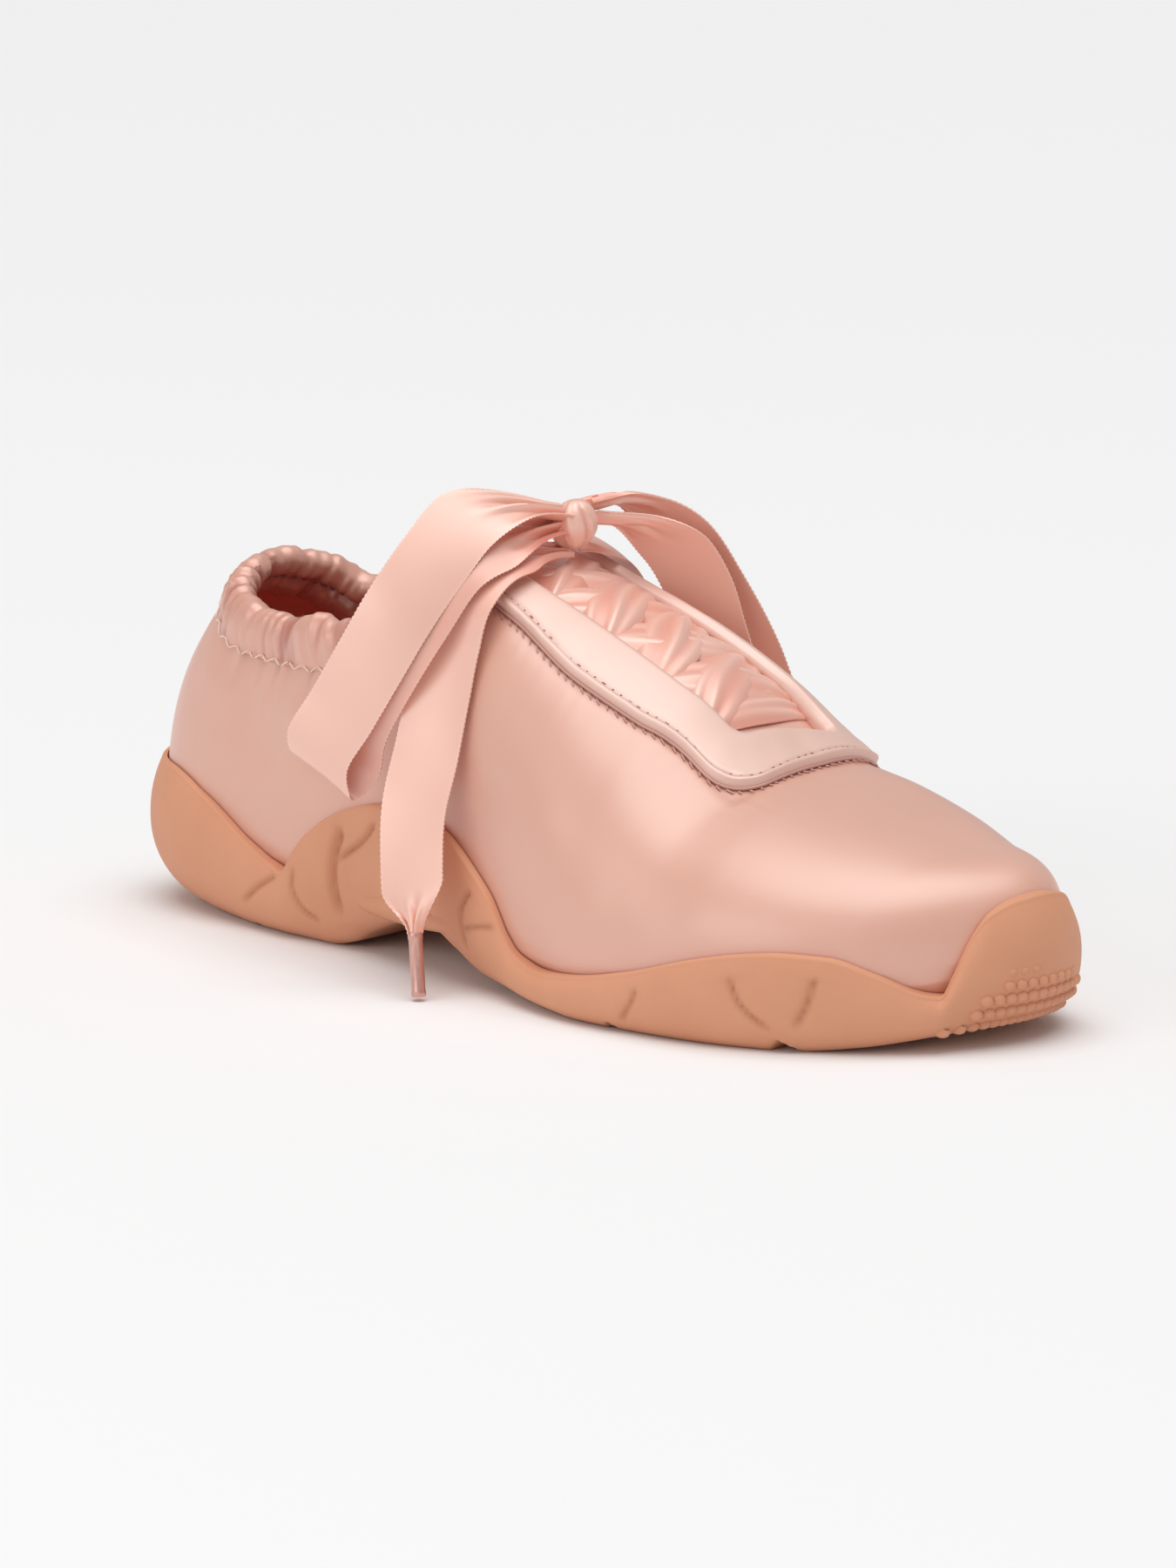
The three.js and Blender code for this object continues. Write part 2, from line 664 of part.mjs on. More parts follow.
function makeTab(side) {
  const ball = new THREE.SphereGeometry(1, tabFacets.round, tabFacets.high);
  ball.scale(waistTab.halfLength, waistTab.proud, waistTab.halfHeight);
  const at = onWall(waistTab.x, waistTab.height, side);
  ball.translate(at.x, at.y, at.z);
  return toSolid(ball);
}

function makeSole() {
  let sole = toSolid(skin(soleRays, soleSection)).add(makeTab(-1)).add(makeTab(1)).subtract(form(seamGap));
  for (const { x, depth, half } of flexNotches) {
    sole = sole.subtract(crossPrism([{ x: x - half, z: -1 }, { x: x + half, z: -1 }, { x, z: depth }]));
  }
  for (const [lines, side] of [[lateralGrooves, -1], [medialGrooves, 1]]) {
    for (const line of lines) {
      const points = line.map(({ x, z }) => onWall(x, z, side));
      sole = sole.subtract(toSolid(tube(points, grooveRadius, grooveSides, points.length)));
    }
  }
  return sole;
}

function makeUpper() {
  const margin = formRays.map((ray) => {
    const reach = ray.reach - soleLipInset - lastingMargin;
    return { x: ray.from.x + ray.direction.x * reach, y: ray.from.y + ray.direction.y * reach };
  });
  return form(0)
    .subtract(form(-upperWall))
    .subtract(uprightPrism(margin, -1, widestAboveFoot + formSections[0].foot))
    .subtract(above(collarLine, -collarFold))
    .subtract(throatHole(0));
}

function makeEyestay() {
  return form(seamGap + eyestayThickness)
    .subtract(form(seamGap))
    .intersect(eyestayPlan(0))
    .intersect(above(eyestayLow, 0))
    .subtract(throatHole(0))
    .subtract(above(collarLine, -collarFold));
}

function makeCuff() {
  return form(seamGap + cuffThickness)
    .subtract(form(seamGap))
    .intersect(above(collarLine, -cuffHeight))
    .subtract(above(collarLine, 0))
    .subtract(eyestayPlan(seamGap));
}

function makeTongue() {
  const outline = throatPlan({ ...throatShape, rear: tongueRearX, grow: tongueSpread });
  return form(-upperWall - seamGap)
    .subtract(form(-upperWall - seamGap - tongueThickness))
    .intersect(uprightPrism(outline, cutLow, cutTop))
    .intersect(above(eyestayLow, -tongueTuck));
}

function makeInsole() {
  const top = formSections.map(({ x, foot }) => ({ x, height: foot }));
  const raised = [
    { x: -pastEnds, height: top[0].height },
    ...top,
    { x: pastEnds, height: top[top.length - 1].height + toeTipRise },
  ];
  return form(-upperWall - seamGap).subtract(above(raised, upperWall + seamGap + insoleThickness));
}

// A band of the lacing between two rows, in plan, from the lateral side to the medial one.
function laceBand(lateralX, medialX) {
  const half = lacedWidth / 2;
  const lateralY = throatEdges[0].innerLateral - tongueSpread;
  const medialY = throatEdges[0].innerMedial + 2 * tongueSpread;
  return uprightPrism([
    { x: lateralX - half, y: lateralY },
    { x: lateralX + half, y: lateralY },
    { x: medialX + half, y: medialY },
    { x: medialX - half, y: medialY },
  ], cutLow, cutTop);
}

function makeCrossings() {
  let bands = laceBand(laceRows[0], laceRows[0]);
  for (let i = 0; i + 1 < laceRows.length; i += 1) {
    bands = bands.add(laceBand(laceRows[i], laceRows[i + 1])).add(laceBand(laceRows[i + 1], laceRows[i]));
  }
  return form(laceProud)
    .subtract(form(laceOverTongue - upperWall - seamGap))
    .intersect(bands)
    .intersect(throatHole(-laceClear));
}

function makeKnot() {
  const ball = new THREE.SphereGeometry(1, knotFacets.round, knotFacets.high);
  ball.scale(knot.halfLength, knot.halfWidth, knot.halfHeight);
  ball.translate(knot.x, knot.y, knot.z);
  return toSolid(ball);
}

// A flat ribbon's path, which keeps the ribbon's width as near as it can to one direction.
class RibbonPath extends THREE.CatmullRomCurve3 {
  constructor(route, across) {
    super(route.map((p) => new THREE.Vector3(p.x, p.y, p.z)), false, 'centripetal');
    this.across = across;
  }

  computeFrenetFrames(segments) {
    const tangents = steps(0, 1, segments).map((u) => this.getTangentAt(u));
    const normals = tangents.map((t) => (
      this.across.clone().addScaledVector(t, -this.across.dot(t)).normalize()));
    const binormals = tangents.map((t, i) => t.clone().cross(normals[i]));
    return { tangents, normals, binormals };
  }
}

function makeRibbon(route, across, stepLength) {
  const path = new RibbonPath(route, across);
  const half = ribbonWidth / 2;
  const thin = ribbonThickness / 2;
  const flat = half - ribbonThickness;
  const corners = [
    [half, -thin / 2], [half, thin / 2], [flat, thin], [-flat, thin],
    [-half, thin / 2], [-half, -thin / 2], [-flat, -thin], [flat, -thin],
  ];
  const shape = new THREE.Shape(corners.map(([u, v]) => new THREE.Vector2(u, v)));
  const stepCount = Math.round(path.getLength() / stepLength);
  return toSolid(new THREE.ExtrudeGeometry(shape, {
    steps: stepCount,
    extrudePath: path,
    bevelEnabled: false,
  }));
}

// The metal end of a tail, from the ribbon's end down to just above the floor.
function makeAglet(route, foot) {
  const end = route[route.length - 1];
  const top = new THREE.Vector3(end.x, end.y, end.z - 2 * seamGap);
  return toSolid(tube([top, new THREE.Vector3(foot.x, foot.y, foot.z)], agletRadius, agletSides, 1));
}

const material = (color, roughness) => new THREE.MeshStandardMaterial({ color, roughness, metalness: 0 });
const rubber = material(0xd79c7c, 0.55);
const satin = material(0xe9bfb2, 0.35);
const facing = material(0xefccc0, 0.5);
const elastic = material(0xdfb0a4, 0.45);
const lining = material(0xd98e80, 0.6);
const ribbon = material(0xf0bfae, 0.4);
const roseMetal = new THREE.MeshStandardMaterial({ color: 0xc98f84, roughness: 0.35, metalness: 0.8 });

// The way that each ribbon's width points, as near as its route lets it
const alongThroat = new THREE.Vector3(0.92, 0, -0.4);
const acrossLateralLoop = new THREE.Vector3(0.76, 0.36, -0.54);
const acrossMedialLoop = new THREE.Vector3(0.84, 0.3, 0.2);
const loopStep = 8;
const tailStep = 10;

const shoe = new THREE.Group();
shoe.add(toMesh('sole', makeSole(), rubber));
shoe.add(toMesh('upper', makeUpper(), satin));
shoe.add(toMesh('eyestay', makeEyestay(), facing));
shoe.add(toMesh('collar_cuff', makeCuff(), elastic));
shoe.add(toMesh('tongue', makeTongue(), satin));
shoe.add(toMesh('insole', makeInsole(), lining));
shoe.add(toMesh('lace_crossings', makeCrossings(), ribbon));
shoe.add(toMesh('bow_knot', makeKnot(), ribbon));
shoe.add(toMesh('bow_loop_lateral', makeRibbon(lateralLoop, acrossLateralLoop, loopStep), ribbon));
shoe.add(toMesh('bow_loop_medial', makeRibbon(medialLoop, acrossMedialLoop, loopStep), ribbon));
shoe.add(toMesh('tail_lateral', makeRibbon(lateralTail, alongThroat, tailStep), ribbon));
shoe.add(toMesh('tail_medial', makeRibbon(medialTail, alongThroat, tailStep), ribbon));
shoe.add(toMesh('aglet_lateral', makeAglet(lateralTail, lateralFoot), roseMetal));
shoe.add(toMesh('aglet_medial', makeAglet(medialTail, medialFoot), roseMetal));

export default shoe;
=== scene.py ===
"""The looks of a low, ribbon-laced satin sneaker for the right foot.

Lengths are in millimetres in the shoe's own frame until a mesh is made, and metres after that.
+X is the toe, +Y the medial (big toe) side and +Z up. The floor is z = 0.
"""

import math

import bpy
import numpy as np
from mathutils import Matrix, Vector


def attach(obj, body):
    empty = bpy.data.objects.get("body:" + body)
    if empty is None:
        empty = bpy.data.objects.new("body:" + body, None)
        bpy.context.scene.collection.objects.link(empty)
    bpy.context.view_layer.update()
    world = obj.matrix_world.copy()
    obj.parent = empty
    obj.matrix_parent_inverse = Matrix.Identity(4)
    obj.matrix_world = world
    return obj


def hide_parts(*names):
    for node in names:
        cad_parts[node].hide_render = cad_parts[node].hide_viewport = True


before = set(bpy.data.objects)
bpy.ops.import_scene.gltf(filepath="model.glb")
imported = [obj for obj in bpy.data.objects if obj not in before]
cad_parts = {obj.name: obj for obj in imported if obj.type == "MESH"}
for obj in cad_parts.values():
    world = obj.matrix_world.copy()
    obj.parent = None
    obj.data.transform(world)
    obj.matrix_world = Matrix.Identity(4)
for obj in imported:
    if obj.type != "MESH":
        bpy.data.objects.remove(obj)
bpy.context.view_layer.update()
MM = 0.001

# Camera: it stands where the photo was taken from and looks at the middle of the one shoe
CAMERA_PLACE = (0.85433, -0.90119, 0.27581)
CAMERA_TARGET = (0.0086, -0.0037, 0.0415)
LENS = 132.0

camera_data = bpy.data.cameras.new("camera")
camera = bpy.data.objects.new("camera", camera_data)
bpy.context.scene.collection.objects.link(camera)
camera.location = CAMERA_PLACE
camera.rotation_euler = (Vector(CAMERA_TARGET) - Vector(CAMERA_PLACE)).to_track_quat("-Z", "Y").to_euler()
camera_data.sensor_width = 36.0
camera_data.lens = LENS
camera_data.clip_start = 0.05
camera_data.clip_end = 20.0
bpy.context.scene.camera = camera

# Ribbon routes

LATERAL_LOOP = [
    (-5.0, 1.2, 99.6), (-9.5, -9.5, 101.6), (-12.1, -19.0, 99.9), (-13.6, -28.4, 91.6),
    (-16.4, -36.8, 80.6), (-21.0, -41.2, 69.6), (-26.4, -44.4, 58.8), (-31.4, -47.0, 49.4),
    (-32.6, -43.8, 43.6), (-29.6, -40.0, 46.8), (-26.0, -40.4, 56.0), (-19.8, -37.8, 68.0),
    (-14.4, -33.4, 79.4), (-11.0, -25.4, 90.6), (-8.7, -15.0, 94.6), (-7.6, -7.5, 95.6),
    (-5.4, 0.5, 96.4),
]
MEDIAL_LOOP = [
    (-5.0, 11.9, 100.2), (-2.0, 17.0, 101.2), (1.8, 24.0, 98.6), (5.5, 30.5, 91.8),
    (8.9, 36.0, 81.8), (12.1, 40.2, 72.1), (14.9, 43.2, 62.5), (16.8, 44.6, 53.4),
    (16.8, 41.4, 48.2), (15.6, 37.6, 51.2), (13.8, 36.0, 60.6), (11.2, 34.0, 70.6),
    (9.4, 30.6, 82.0), (6.8, 25.4, 90.8), (2.6, 18.6, 95.8), (-3.4, 11.8, 97.2),
]
LATERAL_TAIL = [
    (-5.6, 2.6, 90.7), (-8.0, -7.5, 91.2), (-9.2, -16.5, 89.2), (-9.4, -24.0, 83.2),
    (-9.4, -28.4, 73.6), (-9.0, -32.2, 63.1), (-8.3, -36.6, 51.0), (-6.9, -42.0, 39.0),
    (-3.6, -46.0, 27.3), (1.3, -50.0, 14.2),
]
MEDIAL_TAIL = [
    (-7.2, 9.4, 91.6), (-10.4, 17.2, 90.6), (-12.4, 24.4, 88.4), (-13.4, 30.6, 81.8),
    (-14.4, 33.6, 71.0), (-14.6, 36.4, 59.6), (-14.2, 39.6, 47.6), (-13.0, 43.0, 35.6),
    (-11.0, 46.4, 24.2), (-9.0, 49.0, 14.2),
]
LATERAL_FOOT = (3.4, -51.0, 0.9)
MEDIAL_FOOT = (-8.0, 50.0, 0.9)
RIBBON_WIDTH = 16.0
RIBBON_THICKNESS = 0.34
ALONG_THROAT = (0.92, 0.0, -0.4)
ACROSS_LATERAL_LOOP = (0.76, 0.36, -0.54)
ACROSS_MEDIAL_LOOP = (0.84, 0.3, 0.2)

# The shoe's tables

SOLE_OUTLINE = [
    (-128.4, 2.6), (-119.2, -16.3), (-101.2, -26.0), (-68.3, -28.9), (-28.3, -31.8),
    (6.4, -38.4), (41.5, -45.7), (77.2, -42.9), (101.6, -31.2), (119.6, -12.8),
    (128.4, 7.9), (123.0, 25.5), (105.3, 37.2), (73.5, 45.7), (42.0, 43.7),
    (6.9, 35.6), (-28.3, 34.2), (-68.3, 35.6), (-101.4, 32.8), (-119.5, 21.8),
]
SOLE_RIM = [
    (0.0, 34.5), (0.058, 33.5), (0.07, 32.4), (0.089, 28.3), (0.115, 19.9), (0.129, 16.2),
    (0.134, 15.3), (0.138, 17.4), (0.142, 20.7), (0.149, 25.0), (0.159, 29.1), (0.172, 32.6),
    (0.19, 35.2), (0.21, 36.0), (0.229, 34.1), (0.261, 23.0), (0.282, 10.8), (0.296, 9.2),
    (0.314, 10.1), (0.341, 13.3), (0.37, 18.2), (0.388, 20.4), (0.403, 21.2), (0.42, 20.7),
    (0.436, 17.7), (0.457, 12.8), (0.462, 12.5), (0.466, 16.4), (0.47, 21.0), (0.475, 25.6),
    (0.481, 28.9), (0.493, 31.4), (0.507, 32.1), (0.522, 31.0), (0.531, 28.4), (0.538, 25.3),
    (0.543, 20.5), (0.548, 15.6), (0.5515, 14.0), (0.562, 15.3), (0.59, 20.2), (0.606, 22.3),
    (0.622, 22.8), (0.638, 21.9), (0.665, 16.5), (0.7, 10.6), (0.722, 10.6), (0.745, 22.0),
    (0.775, 33.6), (0.797, 36.4), (0.822, 34.6), (0.848, 27.0), (0.862, 17.5), (0.868, 15.6),
    (0.88, 18.6), (0.914, 28.3), (0.936, 32.6), (1.0, 34.5),
]
SOLE_FLOOR = [
    (-130, 0), (-52, 0), (-44, 1.6), (-36, 5.6), (-26, 8.8), (-12, 9.2), (-5, 6.8), (6, 3.0),
    (18, 1.8), (34, 0.5), (42, 0), (92, 0), (104, 1.2), (114, 3.2), (122, 5.6), (130, 8.6),
]
SOLE_ROLL = [
    (0.0, 19), (0.07, 15), (0.12, 8), (0.3, 6), (0.44, 7.5), (0.505, 11), (0.56, 8), (0.7, 6),
    (0.88, 8), (0.93, 15), (1.0, 19),
]
# x, side shift of the ridge, foot, ridge, bow on the lateral side, bow on the medial side, crown
FORM = [
    (-95, 2.8, 14.5, 96, 1.9, 1.9, 2.4), (-57, 3.2, 13.5, 97, 2.1, 2.1, 3.3),
    (-30, 5.0, 13.5, 95, 2.7, 2.8, 3.2), (-15, 6.5, 13.0, 90.5, 3.0, 3.2, 3.1),
    (0, 7.5, 11.0, 84.7, 3.0, 3.5, 3.0), (20, 8.5, 8.0, 76.3, 2.4, 4.0, 2.7),
    (40, 9.5, 6.4, 66.6, 1.9, 3.4, 2.35), (51, 10.0, 6.0, 57.5, 1.9, 3.6, 2.5),
    (61, 10.0, 6.0, 50.6, 2.0, 3.8, 2.6), (74, 10.0, 6.4, 47.6, 2.1, 3.8, 2.7),
    (90, 10.0, 7.6, 43.6, 2.2, 3.6, 2.7), (105, 10.0, 9.6, 39.4, 2.4, 2.8, 2.6),
    (120, 10.0, 11.6, 35.0, 2.6, 2.2, 2.5),
]
COLLAR_LINE = [
    (-140, 81.5), (-95, 81.5), (-90, 77.6), (-84, 73.2), (-76, 71.8), (-62, 72.2), (-45, 73.8),
    (-32, 79.0), (-20, 87.0), (-12, 96.0), (-6, 104.0),
]
# x, then y of the eyestay's outer and inner edge: lateral outer, lateral inner, medial inner, medial outer
THROAT = [
    (-40, -17.0, -9.5, 17.5, 27.5), (-15, -16.6, -8.6, 18.0, 28.0), (0, -18.2, -8.4, 19.0, 29.2),
    (20, -20.3, -6.8, 20.5, 31.0), (37, -18.4, -5.0, 22.2, 32.4), (50, -15.4, -2.6, 24.4, 33.6),
]
EYESTAY_LOW = [(-70, 72), (-10, 76), (10, 69), (30, 61), (50, 50), (65, 40)]
THROAT_FRONT = 51.0
EYESTAY_FRONT = 62.5
HEEL_X, TOE_X = -95.0, 105.0
WIDEST_ABOVE_FOOT = 7.0
TOE_FALL = 0.28
HEEL_LEAN = 34
WALL = 2.0
RIM_INSET = [
    (0.0, 3.0), (0.06, 2.7), (0.11, 1.5), (0.16, 1.1), (0.45, 1.1), (0.475, 2.2), (0.505, 2.6),
    (0.535, 2.2), (0.56, 1.1), (0.86, 1.1), (0.9, 1.6), (0.945, 2.7), (1.0, 3.0),
]
THROAT_SKEW, EYESTAY_SKEW = 3.4, -2.2
TAB = (-20.0, 12.4, 17.0, 2.5, 1.8)
NOTCHES = [(-76, 1.4, 1.8), (51.8, 2.0, 2.2), (91.4, 3.0, 3.2)]

# Grooves in the sole's wall in side view: the line, its half width, its depth
LATERAL_GROOVES = [
    ([(-65, 14.6), (-71, 10.6), (-77, 6.2)], 1.3, 0.8),
    ([(-58.4, 17.5), (-58.6, 12.4), (-55.6, 7.8), (-50, 5.2)], 1.2, 0.8),
    ([(-42.6, 29.2), (-45, 21.2), (-44.9, 13.1), (-43.1, 6.8)], 2.4, 1.5),
    ([(-30.4, 32), (-33.8, 27.6), (-44.4, 20.8)], 1.5, 1.0),
    ([(5.8, 23.0), (2, 17.4), (2, 12), (3.6, 8.2)], 1.2, 0.9),
    ([(2.4, 13.4), (8.4, 15.0), (15.3, 16.3)], 1.1, 0.6),
    ([(56.1, 2.6), (59.8, 7.7), (61.0, 11.2)], 1.2, 0.7),
    ([(83.1, 16.3), (85.4, 10.4), (91.4, 4.2)], 1.2, 0.8),
    ([(99.5, 17), (98.4, 11.4), (95.4, 5.2)], 1.2, 0.8),
]
MEDIAL_GROOVES = [
    ([(-42.6, 29.6), (-45, 21.2), (-44.9, 13.1), (-43.1, 6.8)], 2.2, 1.4),
    ([(5.8, 23.6), (2, 17.4), (2, 12), (3.6, 8.2)], 1.2, 0.9),
    ([(79.5, 17.4), (83, 9.4), (91.4, 3.4)], 1.2, 0.8),
    ([(96.6, 15.7), (100, 10.4), (103.6, 6)], 1.2, 0.8),
]

# Small tools

NOISE_LENGTH = 4096


def read(table, at, column=1):
    """A smooth value from a table with no overshoot between its rows."""
    xs = np.array([row[0] for row in table], float)
    ys = np.array([row[column] for row in table], float)
    at = np.clip(np.asarray(at, float), xs[0], xs[-1])
    slopes = np.diff(ys) / np.diff(xs)
    tangents = np.zeros(len(xs))
    before, after = slopes[:-1], slopes[1:]
    same = before * after > 0
    tangents[1:-1][same] = 2 * before[same] * after[same] / (before[same] + after[same])
    i = np.clip(np.searchsorted(xs, at, side="right") - 1, 0, len(xs) - 2)
    width = xs[i + 1] - xs[i]
    t = (at - xs[i]) / width
    rise = t * t * (3 - 2 * t)
    bend = t * (1 - t) * ((1 - t) * tangents[i] - t * tangents[i + 1]) * width
    return ys[i] * (1 - rise) + ys[i + 1] * rise + bend


def smoothstep(x, low, high):
    t = np.clip((np.asarray(x, float) - low) / (high - low), 0, 1)
    return t * t * (3 - 2 * t)


def spline(points, count):
    """Evenly spaced places on a centripetal Catmull-Rom curve through the points."""
    p = np.array(points, float)
    p = np.vstack([2 * p[0] - p[1], p, 2 * p[-1] - p[-2]])
    dense = []
    for i in range(1, len(p) - 2):
        a, b, c, d = p[i - 1:i + 3]
        t1 = max(np.linalg.norm(b - a) ** 0.5, 1e-4)
        t2 = t1 + max(np.linalg.norm(c - b) ** 0.5, 1e-4)
        t3 = t2 + max(np.linalg.norm(d - c) ** 0.5, 1e-4)
        t = np.linspace(t1, t2, 41)[:, None]
        ab = (t1 - t) / t1 * a + t / t1 * b
        bc = (t2 - t) / (t2 - t1) * b + (t - t1) / (t2 - t1) * c
        cd = (t3 - t) / (t3 - t2) * c + (t - t2) / (t3 - t2) * d
        abc = (t2 - t) / t2 * ab + t / t2 * bc
        bcd = (t3 - t) / (t3 - t1) * bc + (t - t1) / (t3 - t1) * cd
        dense.append(((t2 - t) / (t2 - t1) * abc + (t - t1) / (t2 - t1) * bcd)[:-1])
    dense.append(p[-2][None])
    dense = np.vstack(dense)
    return even(dense, count)


def even(line, count):
    """The same line with evenly spaced places."""
    along = arc(line)
    at = np.linspace(0, along[-1], count)
    return np.stack([np.interp(at, along, line[:, k]) for k in range(line.shape[1])], 1)


def arc(line):
    return np.concatenate([[0], np.cumsum(np.linalg.norm(np.diff(line, axis=0), axis=1))])


def unit(v):
    return v / np.maximum(np.linalg.norm(v, axis=-1, keepdims=True), 1e-12)


def noise(at, seed, step):
    """A smooth line of random heights, about -1 to 1, with one new height each step."""
    heights = np.random.default_rng(seed).uniform(-1, 1, NOISE_LENGTH)
    u = np.asarray(at, float) / step + NOISE_LENGTH // 8
    i = np.floor(u).astype(int)
    t = u - i
    t = t * t * (3 - 2 * t)
    return heights[i % NOISE_LENGTH] * (1 - t) + heights[(i + 1) % NOISE_LENGTH] * t


def grid_faces(n, m, close_n=False, close_m=False):
    """Quads over n rows of m points."""
    i = np.arange(n if close_n else n - 1)
    j = np.arange(m if close_m else m - 1)
    i, j = [a.ravel() for a in np.meshgrid(i, j, indexing="ij")]
    i2, j2 = (i + 1) % n, (j + 1) % m
    return np.stack([i * m + j, i2 * m + j, i2 * m + j2, i * m + j2], 1)


def weld(points, faces):
    """Joins points that lie on one place and drops the faces that this closes up."""
    _, keep, back = np.unique(np.round(points, 4), axis=0, return_index=True, return_inverse=True)
    back = back.ravel()
    made = []
    for face in back[faces]:
        ring = [v for k, v in enumerate(face) if v != face[k - 1]]
        if len(set(ring)) == len(ring) and len(ring) > 2:
            made.append(ring)
    return points[keep], made, keep


def show(name, points, faces, material):
    """A smooth piece of the shoe from points in millimetres. It rides on the shoe's one body."""
    mesh = bpy.data.meshes.new(name)
    mesh.from_pydata((points * MM).tolist(), [], faces)
    mesh.polygons.foreach_set("use_smooth", [True] * len(mesh.polygons))
    mesh.materials.append(material)
    piece = bpy.data.objects.new(name, mesh)
    bpy.context.scene.collection.objects.link(piece)
    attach(piece, "root")
    return piece


def add_mesh(name, points, faces, material, replaces=(), values=None, sharp=50):
    """A welded piece. values are per-point numbers for its material, by name."""
    points, faces, keep = weld(np.asarray(points, float), np.asarray(faces))
    piece = show(name, points, faces, material)
    piece.data.set_sharp_from_angle(angle=math.radians(sharp))
    for key, numbers in (values or {}).items():
        layer = piece.data.attributes.new(key, "FLOAT", "POINT")
        layer.data.foreach_set("value", np.asarray(numbers, np.float32)[keep])
    piece.data.update()
    if replaces:
        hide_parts(*replaces)
    return piece


def turned(faces, outward):
    """The faces, turned over where outward says that they look inwards."""
    return faces[:, ::-1] if outward < 0 else faces


def thick(outer, inner, n, m, close_n=False):
    """A closed solid between two grids of the same shape. Returns its points and quads."""
    size = n * m
    quads = grid_faces(n, m, close_n)
    sides = []
    for j, turn in ((0, False), (m - 1, True)):
        for i in range(n if close_n else n - 1):
            k = (i + 1) % n
            ring = [i * m + j, size + i * m + j, size + k * m + j, k * m + j]
            sides.append(ring if not turn else ring[::-1])
    if not close_n:
        for i, turn in ((0, True), (n - 1, False)):
            for j in range(m - 1):
                ring = [i * m + j, size + i * m + j, size + i * m + j + 1, i * m + j + 1]
                sides.append(ring if not turn else ring[::-1])
    points = np.vstack([outer.reshape(-1, 3), inner.reshape(-1, 3)])
    faces = np.vstack([quads, quads[:, ::-1] + size, np.array(sides)])
    return points, faces


def grid_normals(grid, close_n=False, close_m=False):
    """The normal at each point of a grid, by the same turn as its quads."""
    n, m, _ = grid.shape
    faces = grid_faces(n, m, close_n, close_m)
    flat = grid.reshape(-1, 3)
    a, b, c, d = [flat[faces[:, k]] for k in range(4)]
    each = np.cross(c - a, d - b)
    total = np.zeros_like(flat)
    for k in range(4):
        np.add.at(total, faces[:, k], each)
    _, back = np.unique(np.round(flat, 4), axis=0, return_inverse=True)
    back = back.ravel()
    summed = np.zeros((back.max() + 1, 3))
    np.add.at(summed, back, total)
    return unit(summed[back]).reshape(n, m, 3)


# Materials

BUMP_DISTANCE = 0.0002
SHEEN_TINT = (1.0, 0.80, 0.74, 1)
COAT_PER_SHEEN = 3.0


def new_material(name):
    material = bpy.data.materials.new(name)
    material.use_nodes = True
    tree = material.node_tree
    shader = next(n for n in tree.nodes if n.type == "BSDF_PRINCIPLED")
    return material, tree, shader


def node(tree, kind, **settings):
    made = tree.nodes.new(kind)
    for key, value in settings.items():
        if key in made.inputs:
            made.inputs[key].default_value = value
        else:
            setattr(made, key, value)
    return made


def spots(tree, scale, **settings):
    """Noise over the object's own places in millimetres, stretched along each axis."""
    where = node(tree, "ShaderNodeTexCoord")
    mapping = node(tree, "ShaderNodeMapping")
    mapping.inputs["Scale"].default_value = tuple(1000 * s for s in scale)
    made = node(tree, "ShaderNodeTexNoise", Scale=1.0, **settings)
    tree.links.new(where.outputs["Object"], mapping.inputs["Vector"])
    tree.links.new(mapping.outputs["Vector"], made.inputs["Vector"])
    return made.outputs["Fac"]


def spread(tree, source, low, high):
    """The source's 0 to 1 as low to high."""
    made = node(tree, "ShaderNodeMapRange")
    made.inputs["To Min"].default_value = low
    made.inputs["To Max"].default_value = high
    tree.links.new(source, made.inputs["Value"])
    return made.outputs["Result"]


def blend(tree, share, colour, tint):
    """The colour, with the tint in its place where the share is 1."""
    made = node(tree, "ShaderNodeMix", data_type="RGBA")
    tree.links.new(share, made.inputs["Factor"])
    tree.links.new(colour, made.inputs["A"])
    made.inputs["B"].default_value = (*tint, 1)
    return made.outputs["Result"]


def by_value(tree, key, colour, tint):
    """The colour, tinted by the piece's per-point value of that name."""
    share = node(tree, "ShaderNodeAttribute", attribute_name=key)
    return blend(tree, share.outputs["Fac"], colour, tint)


def fine_bump(tree, shader, source, strength):
    bump = node(tree, "ShaderNodeBump", Strength=strength, Distance=BUMP_DISTANCE)
    tree.links.new(source, bump.inputs["Height"])
    tree.links.new(bump.outputs["Normal"], shader.inputs["Normal"])


def ramp(tree, source, stops):
    made = node(tree, "ShaderNodeValToRGB")
    made.color_ramp.elements[0].position = stops[0][0]
    made.color_ramp.elements[0].color = (*stops[0][1], 1)
    made.color_ramp.elements[1].position = stops[-1][0]
    made.color_ramp.elements[1].color = (*stops[-1][1], 1)
    for place, colour in stops[1:-1]:
        made.color_ramp.elements.new(place).color = (*colour, 1)
    tree.links.new(source, made.inputs["Fac"])
    return made.outputs["Color"]


